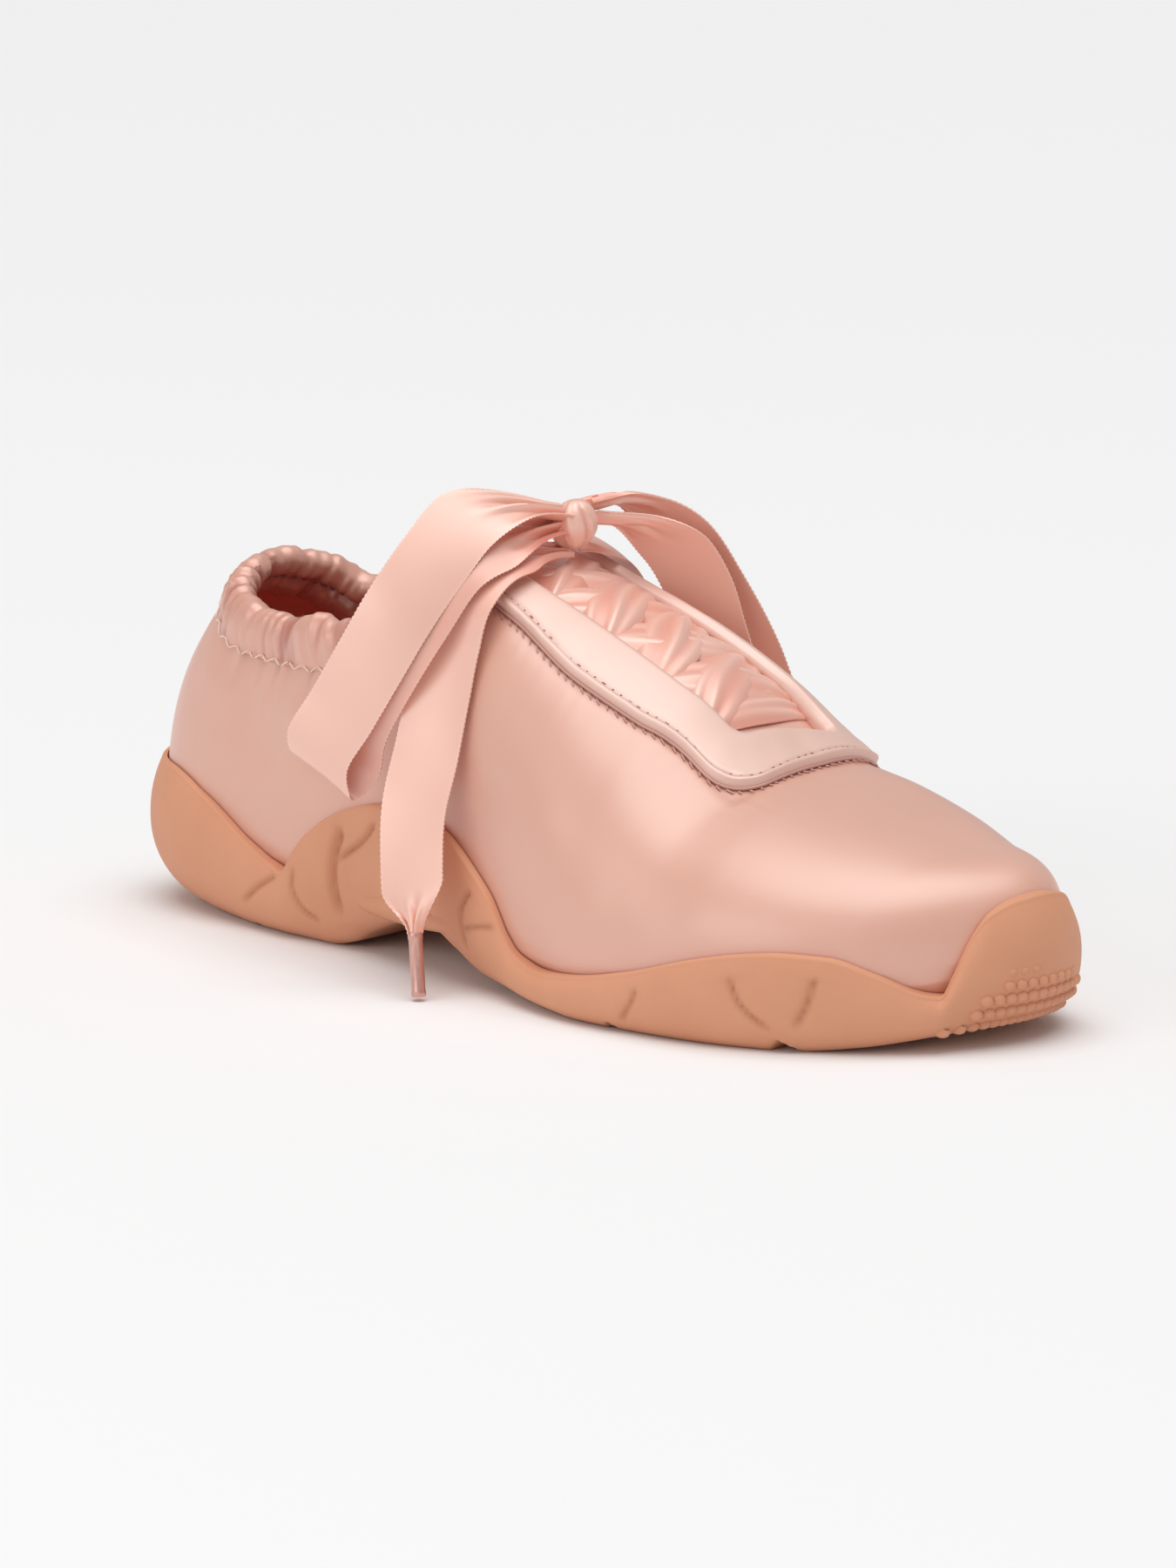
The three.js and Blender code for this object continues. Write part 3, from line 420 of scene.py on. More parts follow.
def satin(name, dark, light, roughness=0.36, sheen=0.25, weave=0.08, shade=None, deep_painted_shade=None, metal=0.1):
    """Woven satin: a soft cloudy colour, a broad sheen and a very fine weave. Its two tints are its
    colours where the piece's per-point values of those names are 1. Both tints are painted shade in seams,
    grooves and folds and under the loops; on the ribbons the first tint only makes the picot edges lighter,
    and on the cuff it also darkens the inner ring."""
    material, tree, shader = new_material(name)
    cloud = spots(tree, (0.03, 0.03, 0.03), Detail=2.0, Roughness=0.5)
    threads = spots(tree, (1.2, 5.0, 5.0), Detail=2.0, Roughness=0.6)
    colour = ramp(tree, cloud, [(0.3, dark), (0.7, light)])
    colour = blend(tree, spread(tree, threads, 0.0, 0.12), colour, [c * 0.82 for c in dark])
    for key, tint in (("shade", shade), ("deep_painted_shade", deep_painted_shade)):
        if tint is not None:
            colour = by_value(tree, key, colour, tint)
    tree.links.new(colour, shader.inputs["Base Color"])
    fine_bump(tree, shader, threads, weave)
    tree.links.new(spread(tree, cloud, roughness - 0.03, roughness + 0.04), shader.inputs["Roughness"])
    shader.inputs["Metallic"].default_value = metal
    shader.inputs["Specular IOR Level"].default_value = 1.0
    shader.inputs["Coat Weight"].default_value = COAT_PER_SHEEN * sheen
    shader.inputs["Coat IOR"].default_value = 1.8
    shader.inputs["Coat Roughness"].default_value = 0.45
    shader.inputs["Sheen Weight"].default_value = sheen
    shader.inputs["Sheen Roughness"].default_value = 0.45
    shader.inputs["Sheen Tint"].default_value = SHEEN_TINT
    return material


def rubber(name, dark, light, groove):
    """Matt moulded rubber with a fine grain, with painted shade in its grooves."""
    material, tree, shader = new_material(name)
    cloud = spots(tree, (0.06, 0.06, 0.06), Detail=4.0, Roughness=0.5)
    grain = spots(tree, (2.2, 2.2, 2.2), Detail=3.0, Roughness=0.7)
    colour = by_value(tree, "shade", ramp(tree, cloud, [(0.3, dark), (0.7, light)]), groove)
    tree.links.new(colour, shader.inputs["Base Color"])
    fine_bump(tree, shader, grain, 0.12)
    tree.links.new(spread(tree, grain, 0.52, 0.66), shader.inputs["Roughness"])
    shader.inputs["Specular IOR Level"].default_value = 0.35
    return material


def rose_metal():
    """Brushed metal, its lines along the height."""
    material, tree, shader = new_material("rose_metal")
    brushed = spots(tree, (3.0, 3.0, 0.15), Detail=3.0, Roughness=0.6)
    colour = ramp(tree, brushed, [(0.3, (0.62, 0.33, 0.28)), (0.7, (0.78, 0.47, 0.40))])
    tree.links.new(colour, shader.inputs["Base Color"])
    tree.links.new(spread(tree, brushed, 0.28, 0.42), shader.inputs["Roughness"])
    shader.inputs["Metallic"].default_value = 0.75
    return material


# The upper's shade colour is painted shade along the eyestay's seam.
UPPER_SATIN = satin("upper_satin", (0.73, 0.365, 0.262), (0.775, 0.395, 0.288), roughness=0.42,
                    metal=0.0, shade=(0.60, 0.27, 0.19))
# The eyestay's satin is lighter than the upper's, in part as painted light on the band, which faces up into
# the key light; its shade colour is painted shade along the stitch groove.
EYESTAY_SATIN = satin("eyestay_satin", (0.82, 0.515, 0.42), (0.86, 0.555, 0.455), roughness=0.48,
                      weave=0.12, shade=(0.60, 0.31, 0.25))
# The cuff's shade colour is painted shade in its fold valleys, and it also darkens the inner ring.
CUFF_SATIN = satin("cuff_satin", (0.71, 0.325, 0.23), (0.77, 0.375, 0.27), roughness=0.38,
                   shade=(0.42, 0.08, 0.045))
TONGUE_SATIN = satin("tongue_satin", (0.82, 0.44, 0.335), (0.86, 0.48, 0.37), roughness=0.4, sheen=0.2)
LINING = satin("lining", (0.62, 0.11, 0.06), (0.70, 0.14, 0.085), roughness=0.65, sheen=0.1,
               weave=0.2, metal=0.0)
# The ribbon's first tint makes the picot edges lighter; its second is painted shade in folds, on the loops'
# inner faces and on the tails under the loops.
RIBBON = satin("ribbon", (0.91, 0.50, 0.39), (0.95, 0.54, 0.42), roughness=0.40, sheen=0.3,
               weave=0.05, shade=(0.95, 0.60, 0.49), deep_painted_shade=(0.84, 0.29, 0.19))
THREAD = satin("thread", (0.84, 0.60, 0.50), (0.90, 0.68, 0.58), roughness=0.6, sheen=0.1, metal=0.0)
STITCH_DARK = satin("stitch_dark", (0.30, 0.13, 0.09), (0.40, 0.18, 0.13), roughness=0.7, sheen=0.0,
                    metal=0.0)
# The next colour is painted shadow on the cord under the eyestay's folded edge, and the thread's own colour
# in the short stitch steps.
EDGE_SHADOW_AND_THREAD = satin("edge_shadow_and_thread", (0.56, 0.28, 0.23), (0.64, 0.34, 0.28), roughness=0.5, sheen=0.1)
# The third colour is painted shade in the sole's grooves.
RUBBER = rubber("sole_rubber", (0.68, 0.31, 0.18), (0.715, 0.335, 0.198), (0.48, 0.18, 0.095))
METAL = rose_metal()

# The bow

RIBBON_COLUMNS = 33
RIBBON_STEP = 0.55
PICOT = 0.22


def frames(line, across, square):
    """Width direction and face normal along a line. With square 0 the width direction is across
    itself all along, as in a ribbon that is folded round a straight edge."""
    tangent = unit(np.gradient(line, axis=0))
    across = np.broadcast_to(unit(np.asarray(across, float)), line.shape)
    width = unit(across - square * (across * tangent).sum(1)[:, None] * tangent)
    return width, unit(np.cross(tangent, width))


def ribbon_grid(line, across, width_at, fold_at, v, seed, square):
    """The ribbon's middle surface and its pleats. v is the place across it, from -1 to 1."""
    width, face = frames(line, across, square)
    s, half, fold = arc(line)[:, None], width_at[:, None] / 2, fold_at[:, None]
    phase = np.random.default_rng(seed).uniform(0, 6.28, 3)
    picot = np.where(np.abs(v) > 0.99, PICOT * (np.arange(len(line))[:, None] % 2), 0.0)
    pleat = np.sin(v * 7.5 + phase[0] + 0.02 * s) + 0.45 * np.sin(v * 13 + phase[1] - 0.03 * s)
    cup = 0.8 * np.sin(s / 21 + phase[2]) * (1 - v * v) + 0.5 * np.sin(s / 13 + phase[1]) * v
    height = fold * pleat + cup * (1 - np.minimum(1, fold))
    sideways = half * v + picot * np.sign(v)
    grid = line[:, None] + width[:, None] * sideways[..., None] + face[:, None] * height[..., None]
    return grid, pleat


def ribbon(name, line, across, width_at, fold_at, replaces, seed, square, inner_face_shade, outer_face_shade):
    """A ribbon along a line. width_at is its shown width along it and fold_at how much it gathers.
    Where it gathers, lengthwise pleats take up the rest of its width. The last two arguments are the
    painted shade on its inner and its outer face, added to painted shade in the pleats' valleys."""
    v = np.linspace(-1, 1, RIBBON_COLUMNS)
    n = len(line)
    grid, pleat = ribbon_grid(line, across, width_at, fold_at, v, seed, square)
    half = grid_normals(grid) * RIBBON_THICKNESS / 2
    points, faces = thick(grid + half, grid - half, n, RIBBON_COLUMNS)
    # The picot edges take the ribbon's lighter edge tint.
    shade = np.tile(np.where(np.abs(v) > 0.94, 0.6, 0.0), 2 * n)
    # Painted shade in the pleats' valleys, added to each face's painted shade.
    valley_shade = np.clip(0.6 * fold_at[:, None] * (0.6 - pleat), 0, 0.8)
    face_shades = [valley_shade + np.broadcast_to(depth, n)[:, None] for depth in (outer_face_shade, inner_face_shade)]
    values = {"shade": shade, "deep_painted_shade": np.stack(face_shades).reshape(-1)}
    return add_mesh(name, points, faces, RIBBON, replaces, values, sharp=70)


def tucked(line, width, fold, both_ends):
    """The same ribbon with its gathered ends run on a little way into the knot."""
    reach = 2.2
    first = line[:1] - reach * unit(line[1:2] - line[:1])
    last = line[-1:] + reach * unit(line[-1:] - line[-2:-1])
    parts = [first, line, last] if both_ends else [first, line]
    pad = (1, 1) if both_ends else (1, 0)
    return np.vstack(parts), np.pad(width, pad, mode="edge"), np.pad(fold, pad, mode="edge")


def ease(s, start, end):
    """The ribbon's width along it. start and end are the width at that end and how far it opens."""
    opened = start[0] + (RIBBON_WIDTH - start[0]) * smoothstep(s, 0, start[1])
    closed = end[0] + (RIBBON_WIDTH - end[0]) * smoothstep(s[-1] - s, 0, end[1])
    return np.minimum(opened, closed)


def strand(route, start, end, narrowest, deepest, power):
    """A route's line, and the ribbon's width and gathers along it."""
    line = spline(route, int(arc(spline(route, 300))[-1] / RIBBON_STEP))
    width = ease(arc(line), start, end)
    return line, width, deepest * (1 - (width - narrowest) / (RIBBON_WIDTH - narrowest)) ** power


def loop(name, route, across, node_name, seed, inner_face_shade):
    line, width, fold = strand(route, (6.0, 24.0), (6.0, 20.0), 6.0, 1.2, 1.2)
    shown, width, fold = tucked(line, width, fold, True)
    return ribbon(name, shown, across, width, fold, [node_name], seed, 0.25, inner_face_shade, 0.0), line


def tail(name, route, node_name, seed):
    line, width, fold = strand(route, (5.0, 14.0), (3.0, 11.0), 3.0, 0.9, 1.5)
    shown, width, fold = tucked(line, width, fold, False)
    # Painted shadow on the tail's upper part, under the loop.
    shadow_under_loop = 0.6 * (1 - smoothstep(arc(shown), 14, 44))
    return ribbon(name, shown, ALONG_THROAT, width, fold, [node_name], seed, 1.0, shadow_under_loop, shadow_under_loop), line


# The metal end's profile: share of its length, radius
AGLET_PROFILE = [
    (0.0, 0.0), (0.0, 0.9), (0.0, 1.45), (0.03, 1.62), (0.09, 1.62), (0.12, 1.5), (0.5, 1.52),
    (0.88, 1.5), (0.91, 1.6), (0.975, 1.6), (1.0, 1.35), (1.0, 0.0),
]


def aglet(name, route, foot, node_name):
    """A tube of rolled metal with a bead at each end and a seam."""
    top = np.array(route[-1], float) + (0, 0, 0.4)
    foot = np.array(foot, float)
    axis = unit(foot - top)
    side = unit(np.cross(axis, (1.0, 0.2, 0.0)))
    other = np.cross(axis, side)
    length = np.linalg.norm(foot - top)
    turns = np.linspace(0, 2 * np.pi, 40, endpoint=False)
    round_axis = np.cos(turns)[:, None] * side + np.sin(turns)[:, None] * other
    seam = 1 - 0.05 * np.exp(-((turns - 1.2) / 0.12) ** 2)
    rings = [top + axis * length * t + radius * seam[:, None] * round_axis for t, radius in AGLET_PROFILE]
    faces = grid_faces(len(rings), len(turns), False, True)[:, ::-1]
    return add_mesh(name, np.array(rings).reshape(-1, 3), faces, METAL, [node_name], sharp=40)


aglet_near = aglet("aglet_near", LATERAL_TAIL, LATERAL_FOOT, "aglet_lateral")
aglet_far = aglet("aglet_far", MEDIAL_TAIL, MEDIAL_FOOT, "aglet_medial")
# The last number is the painted shade on each loop's inner face.
loop_near = loop("ribbon_loop_near", LATERAL_LOOP, ACROSS_LATERAL_LOOP, "bow_loop_lateral", 3, 0.35)
loop_far = loop("ribbon_loop_far", MEDIAL_LOOP, ACROSS_MEDIAL_LOOP, "bow_loop_medial", 5, 0.1)
tail_near = tail("ribbon_tail_near", LATERAL_TAIL, "tail_lateral", 8)
tail_far = tail("ribbon_tail_far", MEDIAL_TAIL, "tail_medial", 11)

# Outline, rays and form


def closed_curve(points, per_span=40):
    p = np.array(points, float)
    p0, p1, p2, p3 = np.roll(p, 1, 0), p, np.roll(p, -1, 0), np.roll(p, -2, 0)
    t = np.linspace(0, 1, per_span, endpoint=False)[None, :, None]
    a, b, c, d = [q[:, None, :] for q in (p0, p1, p2, p3)]
    square, cube = 2 * a - 5 * b + 4 * c - d, 3 * b - a - 3 * c + d
    curve = 0.5 * (2 * b + (c - a) * t + square * t ** 2 + cube * t ** 3)
    curve = curve.reshape(-1, 2)
    return even(np.vstack([curve, curve[:1]]), 2401)


OUTLINE = closed_curve(SOLE_OUTLINE)


def make_rays(places):
    """places are (x, angle) from the spine. Returns their origins, directions, reach and place."""
    places = np.array(places, float)
    x, angle = places[:, 0], places[:, 1]
    start = np.stack([x, read(FORM, x, 1)], 1)
    direction = np.stack([np.cos(angle), np.sin(angle)], 1)
    a, b = OUTLINE[:-1], OUTLINE[1:]
    edge = b - a
    cross = direction[:, None, 0] * edge[None, :, 1] - direction[:, None, 1] * edge[None, :, 0]
    offset = a[None] - start[:, None]
    with np.errstate(divide="ignore", invalid="ignore"):
        along = (offset[..., 0] * edge[None, :, 1] - offset[..., 1] * edge[None, :, 0]) / cross
        share = (offset[..., 0] * direction[:, None, 1] - offset[..., 1] * direction[:, None, 0]) / cross
    along = np.where((along > 0) & (share >= 0) & (share < 1), along, -1)
    best = along.argmax(1)
    row = np.arange(len(x))
    return {
        "x": x, "start": start, "direction": direction, "reach": along[row, best],
        "place": (best + share[row, best]) / (len(OUTLINE) - 1), "lateral": direction[:, 1] < -1e-9,
    }


def fan(xs, heel_steps, toe_steps):
    """A fan round the heel, pairs of rays across the middle and a fan round the toe, in one loop."""
    half = math.pi / 2
    toe = np.linspace(-half, half, toe_steps + 1)[1:-1]
    heel = np.linspace(half, 3 * half, heel_steps + 1)[1:-1]
    return make_rays([(x, -half) for x in xs] + [(TOE_X, a) for a in toe] + [(x, half) for x in xs[::-1]]
                     + [(HEEL_X, a) for a in heel])


def on_rays(rays, reach, height):
    """Points along the rays, at each one's reaches and heights."""
    xy = rays["start"][:, None] + rays["direction"][:, None] * reach[..., None]
    return np.concatenate([xy, height[..., None]], 2)


def outward_normals(grid, rays):
    """The outward normals of a closed grid over rays, and -1 where its quads look inwards."""
    normal = grid_normals(grid, close_n=True)
    turn = -1.0 if normal[20, 30] @ np.append(rays["direction"][20], 0.0) < 0 else 1.0
    return normal * turn, turn


def lip_inset(x):
    """How far the upper's foot stands in from the sole's outline."""
    return 3.3 + 0.8 * smoothstep(-x, 40, 90)


def form_facts(rays):
    x = rays["x"]
    tip = x + rays["direction"][:, 0] * rays["reach"]
    foot = read(FORM, x, 2) + np.maximum(0, tip - TOE_X) * 0.16
    medial_share = smoothstep(rays["direction"][:, 1], -0.7, 0.7)
    bow = read(FORM, x, 4) * (1 - medial_share) + read(FORM, x, 5) * medial_share
    return {
        "foot": foot, "ridge": read(FORM, x, 3), "bow": bow, "crown": read(FORM, x, 6),
        "reach": rays["reach"] - lip_inset(x), "lean": 1 - smoothstep(x, HEEL_X, -40),
    }


def form_section(f, i):
    """Reach, height and forward shift of one ray's section, from the footbed's edge to the ridge."""
    angles = np.linspace(0, 1, 260) ** 1.15 * math.pi / 2
    reach, foot = f["reach"][i], f["foot"][i]
    widest = foot + WIDEST_ABOVE_FOOT
    up = np.sin(angles) ** (2 / f["crown"][i])
    out = np.cos(angles) ** (2 / f["bow"][i])
    out[-1] = 0
    reaches = np.concatenate([reach - np.array([4.6, 2.6, 0.6]), reach * out])
    height = np.concatenate([foot + np.array([0, 0.6, 3.5]), widest + (f["ridge"][i] - widest) * up])
    shift = np.concatenate([[0, 0, 0], f["lean"][i] * HEEL_LEAN * up ** 2.6])
    return reaches, height, shift


def form_grid(rays, rows):
    """The foot's form: for each ray, evenly spaced points from the footbed's edge up to the ridge."""
    f = form_facts(rays)
    made = np.zeros((len(rays["x"]), rows, 3))
    for i in range(len(rays["x"])):
        reach, height, shift = form_section(f, i)
        if rays["x"][i] == TOE_X:
            share = np.clip(reach / f["reach"][i], 0, 1)
            height = height - TOE_FALL * max(rays["direction"][i, 0], 0) * reach * (1 - share) ** 2
        xy = rays["start"][i] + rays["direction"][i] * reach[:, None]
        made[i] = even(np.stack([xy[:, 0] + shift, xy[:, 1], height], 1), rows)
    return made


PLAN_X = np.arange(-95.0, 105.1, 1.0)
PLAN_REACH = {
    side: make_rays([(x, side * math.pi / 2) for x in PLAN_X])["reach"] - lip_inset(PLAN_X)
    for side in (-1, 1)
}


def height_at(x, y):
    """The height of the form over a plan place. It holds from the waist to the toe."""
    x, y = np.broadcast_arrays(np.asarray(x, float), np.asarray(y, float))
    off = y - read(FORM, x, 1)
    reach = np.where(off < 0, np.interp(x, PLAN_X, PLAN_REACH[-1]), np.interp(x, PLAN_X, PLAN_REACH[1]))
    bow = np.where(off < 0, read(FORM, x, 4), read(FORM, x, 5))
    cosine = np.clip(np.abs(off) / reach, 0, 1) ** (bow / 2)
    widest = read(FORM, x, 2) + WIDEST_ABOVE_FOOT
    return widest + (read(FORM, x, 3) - widest) * np.sqrt(1 - cosine ** 2) ** (2 / read(FORM, x, 6))


def on_top(x, y, offset=0.0):
    """A point over a plan place, moved out of the form along its normal."""
    x, y = np.broadcast_arrays(np.asarray(x, float), np.asarray(y, float))
    d = 0.3
    slope_x = (height_at(x + d, y) - height_at(x - d, y)) / (2 * d)
    slope_y = (height_at(x, y + d) - height_at(x, y - d)) / (2 * d)
    normal = unit(np.stack([-slope_x, -slope_y, np.ones_like(slope_x)], -1))
    return np.stack([x, y, height_at(x, y)], -1) + normal * np.asarray(offset)[..., None], normal


# Sole

# The rows of the sole's section that lie on its outside
FIRST_OUTSIDE_ROW, LAST_OUTSIDE_ROW = 11, 62
SEAM_GAP = 0.3


def distance_to(line, x, z):
    """Distance in side view from each place to a line, and how far along it the nearest point is."""
    fine = spline([(p[0], p[1], 0.0) for p in line], 60)[:, :2]
    gap = np.hypot(x[:, None] - fine[None, :, 0], z[:, None] - fine[None, :, 1])
    near = gap.argmin(1)
    return gap[np.arange(len(x)), near], near / 59


def sole_rays():
    at_notches = [x + h for x, _, w in NOTCHES for h in (-w, 0, w)]
    xs = np.unique(np.concatenate([np.arange(HEEL_X, TOE_X + 0.1, 0.9), at_notches]))
    return fan(xs, 90, 130)


def bulge_height(floor, rim):
    """The height at which the wall stands out furthest."""
    return min(21.0, floor + 0.58 * (rim - floor))


def outside_section(reach, rim, under, inset, floor):
    """Reach and height from the rolled lower edge up the wall and over the lip."""
    bulge, lip_foot = bulge_height(floor, rim), rim - 0.9
    turn = np.linspace(90, 0, 26) * math.pi / 180
    t = np.linspace(0, 1, 22)[1:]
    lip = np.linspace(0, 90, 7)[1:] * math.pi / 180
    wall = reach - inset * t ** 2.2
    reaches = [reach - under * (1 - np.cos(turn)), wall, reach - inset - 1.1 * (1 - np.cos(lip))]
    heights = [bulge - (bulge - floor) * np.sin(turn), bulge + (lip_foot - bulge) * t,
               lip_foot + 0.9 * np.sin(lip)]
    return reaches, heights


def inside_section(limit, rim, f, i):
    """Reach and height from the lip down the inner face, beside the form, and in over the bottom."""
    foot = f["foot"][i]
    low = min(rim, foot - 0.3)
    z = np.linspace(rim, low, 8)
    widest = foot + WIDEST_ABOVE_FOOT
    up = np.clip((z - widest) / (f["ridge"][i] - widest), 0, 1)
    cosine = np.sqrt(np.clip(1 - up ** f["crown"][i], 0, 1)) ** (2 / f["bow"][i])
    below = np.interp(z, [foot, foot + 0.6, foot + 3.5, widest], [-4.6, -2.6, -0.6, 0])
    reach = np.minimum(f["reach"][i] * cosine + below + SEAM_GAP, limit)
    last = np.linspace(1, 0, 7)[1:]
    bottom = np.minimum(low + (24 - low) * (1 - last), foot - 0.3)
    return [reach, reach[-1] * last], [z, bottom]


def sole_grid(rays):
    """The sole's closed section on every ray, from the middle of its underside round to the inside."""
    rim, under = read(SOLE_RIM, rays["place"]), read(SOLE_ROLL, rays["place"])
    inset = read(RIM_INSET, rays["place"])
    f = form_facts(rays)
    reaches, heights = [], []
    for i, reach in enumerate(rays["reach"]):
        x, dx = rays["x"][i], rays["direction"][i, 0]
        floor = float(read(SOLE_FLOOR, x + dx * (reach - under[i])))
        flat = np.linspace(0, 1, 12)[:-1] * (reach - under[i])
        outer = outside_section(reach, rim[i], under[i], inset[i], floor)
        inner = inside_section(reach - inset[i] - 1.3, rim[i], f, i)
        reaches.append(np.concatenate([flat, *outer[0], *inner[0]]))
        heights.append(np.concatenate([read(SOLE_FLOOR, x + dx * flat), *outer[1], *inner[1]]))
    return on_rays(rays, np.array(reaches), np.array(heights))


def sole_relief(x, z, out, sideways):
    """How far the wall stands out at each point, by its grooves, tab and unevenness, and the painted shade in
    its grooves.
    """
    push, shade = np.zeros(len(x)), np.zeros(len(x))
    for lines, side in ((LATERAL_GROOVES, -1), (MEDIAL_GROOVES, 1)):
        here = sideways * (np.sign(out[:, 1]) == side)
        for line, half, depth in lines:
            gap, along = distance_to(line, x, z)
            taper = smoothstep(along, -0.02, 0.12) * smoothstep(1 - along, -0.02, 0.2)
            cut = np.clip(1 - gap / half, 0, 1) ** 1.3 * taper
            soft = np.exp(-(gap / (3.2 * half)) ** 2) * taper
            push -= here * (depth * cut + 0.35 * depth * soft)
            # Painted shade in the groove.
            shade = np.maximum(shade, here * cut)
    tab_x, tab_z, half_x, half_z, proud = TAB
    oval = np.clip(1 - ((x - tab_x) / half_x) ** 2 - ((z - tab_z) / half_z) ** 2, 0, 1)
    push += sideways * proud * np.sqrt(oval)
    push += sideways * (noise(x, 21, 14) * 0.12 + noise(z + 0.3 * x, 22, 9) * 0.08)
    return push, shade


def cut_notches(points, x, below):
    """Lifts the underside into the notches that cross it, and keeps it out of the floor. x is each
    point's place before the relief moved it."""
    for notch_x, depth, half in NOTCHES:
        lift = depth * np.clip(1 - np.abs(x - notch_x) / half, 0, 1)
        points[:, 2] = np.where(below, np.maximum(points[:, 2], lift), points[:, 2])
    points[:, 2] = np.maximum(points[:, 2], 0)


def make_sole():
    rays = sole_rays()
    grid = sole_grid(rays)
    n, m, _ = grid.shape
    normal, turn = outward_normals(grid, rays)
    flat, out = grid.reshape(-1, 3), normal.reshape(-1, 3)
    row = np.tile(np.arange(m), n)
    outside = (row >= FIRST_OUTSIDE_ROW) & (row <= LAST_OUTSIDE_ROW)
    sideways = outside * smoothstep(np.hypot(out[:, 0], out[:, 1]), 0.25, 0.7)
    push, shade = sole_relief(flat[:, 0], flat[:, 2], out, sideways)
    flat = flat + out * push[:, None]
    cut_notches(flat, grid[..., 0].reshape(-1), row <= LAST_OUTSIDE_ROW)
    faces = turned(grid_faces(n, m, close_n=True), turn)
    return add_mesh("sole_rubber_body", flat, faces, RUBBER, ["sole"],
                    {"shade": 0.8 * shade}, sharp=38)


def wall_at(angle, height):
    """A point of the sole's wall and its outward direction, by the toe's ray and a height."""
    ray = make_rays([(TOE_X, angle)])
    place, reach, direction = ray["place"][0], ray["reach"][0], ray["direction"][0]
    under, rim = float(read(SOLE_ROLL, place)), float(read(SOLE_RIM, place))
    floor = float(read(SOLE_FLOOR, TOE_X + direction[0] * (reach - under)))
    bulge = bulge_height(floor, rim)
    drop = np.clip((bulge - height) / (bulge - floor), 0, 0.999)
    at = reach - under * (1 - math.sqrt(1 - drop * drop))
    slope = math.atan2(drop / max(bulge - floor, 1e-6), math.sqrt(1 - drop * drop) / under)
    out = np.append(direction * math.cos(slope), -math.sin(slope))
    return np.append(ray["start"][0] + direction * at, height), out


def dome(centre, out, size, turns=12, rings=4):
    """A small oval nub that sits on a surface."""
    up = np.array([0.0, 0.0, 1.0])
    right = unit(np.cross(up, out))
    up = np.cross(out, right)
    points = [centre + out * size[2]]
    for k in range(1, rings + 1):
        a = k / rings * math.pi / 2
        for t in np.linspace(0, 2 * math.pi, turns, endpoint=False):
            points.append(centre + math.sin(a) * (size[0] * math.cos(t) * right + size[1] * math.sin(t) * up)
                          + out * size[2] * (math.cos(a) - 0.25 * (k == rings)))
    faces = [[0, 1 + t, 1 + (t + 1) % turns] for t in range(turns)]
    for k in range(rings - 1):
        for t in range(turns):
            a, b = 1 + k * turns + t, 1 + k * turns + (t + 1) % turns
            faces.append([a, a + turns, b + turns, b])
    return points, faces


def join(parts):
    points, faces, base = [], [], 0
    for p, f in parts:
        points.extend(p)
        faces.extend([[v + base for v in face] for face in f])
        base += len(p)
    return np.array(points), faces


def add_loose(name, parts, material):
    """Many small closed forms as one piece, none of them below the floor."""
    points, faces = join(parts)
    points[:, 2] = np.maximum(points[:, 2], 0.0)
    return show(name, points, faces, material)


# Each row of nubs round the toe: height above the floor, first and last angle, half sizes, height
NUB_ROWS = [
    (1.5, -62, 58, (1.7, 1.4), 1.1), (4.4, -50, 48, (1.75, 1.45), 1.2), (7.3, -41, 38, (1.65, 1.35), 1.1),
    (10.1, -32, 28, (1.4, 1.15), 0.85), (13.0, -27, -6, (1.0, 0.8), 0.4),
]
NUB_STEP = 3.7
TOE_RADIUS = 30.0


def make_nubs():
    """Oval nubs round the toe, in offset rows that reach less far back the higher they are."""
    parts = []
    step = math.degrees(NUB_STEP / TOE_RADIUS)
    for row, (above, first, last, half, proud) in enumerate(NUB_ROWS):
        for degrees in np.arange(first + step / 2 * (row % 2), last, step):
            angle = math.radians(degrees)
            ray = make_rays([(TOE_X, angle)])
            under = float(read(SOLE_ROLL, ray["place"][0]))
            tip = TOE_X + math.cos(angle) * (ray["reach"][0] - under)
            at, out = wall_at(angle, float(read(SOLE_FLOOR, tip)) + above)
            parts.append(dome(at, out, [*half, proud]))
    return add_loose("sole_nubs", parts, RUBBER)


# The ribs under the heel and under the ball: first x, last x
TREAD = [(-112, -54), (38, 100)]
TREAD_STEP, TREAD_MARGIN, CLEAR_OF_NOTCH = 7.0, 12, 4.5


def make_tread():
    """Low ribs under the heel and the ball, which leave the flat spots of the sole free."""
    parts = []
    for x in np.concatenate([np.arange(*ends, TREAD_STEP) for ends in TREAD]):
        if min(abs(x - notch[0]) for notch in NOTCHES) < CLEAR_OF_NOTCH:
            continue
        on_spine = min(max(x, HEEL_X), TOE_X)
        ray = make_rays([(on_spine, -math.pi / 2), (on_spine, math.pi / 2)])
        low = ray["start"][0, 1] - ray["reach"][0] + TREAD_MARGIN
        high = ray["start"][0, 1] + ray["reach"][1] - TREAD_MARGIN
        narrower = 0.8 * max(HEEL_X - x, 0)
        low, high = low + narrower, high - narrower
        y = np.linspace(low, high, 24)
        wave = x + 1.6 * np.cos((y - (low + high) / 2) / 9)
        parts.append(rib(np.stack([wave, y, read(SOLE_FLOOR, wave)], 1)))
    return add_loose("sole_tread", parts, RUBBER)


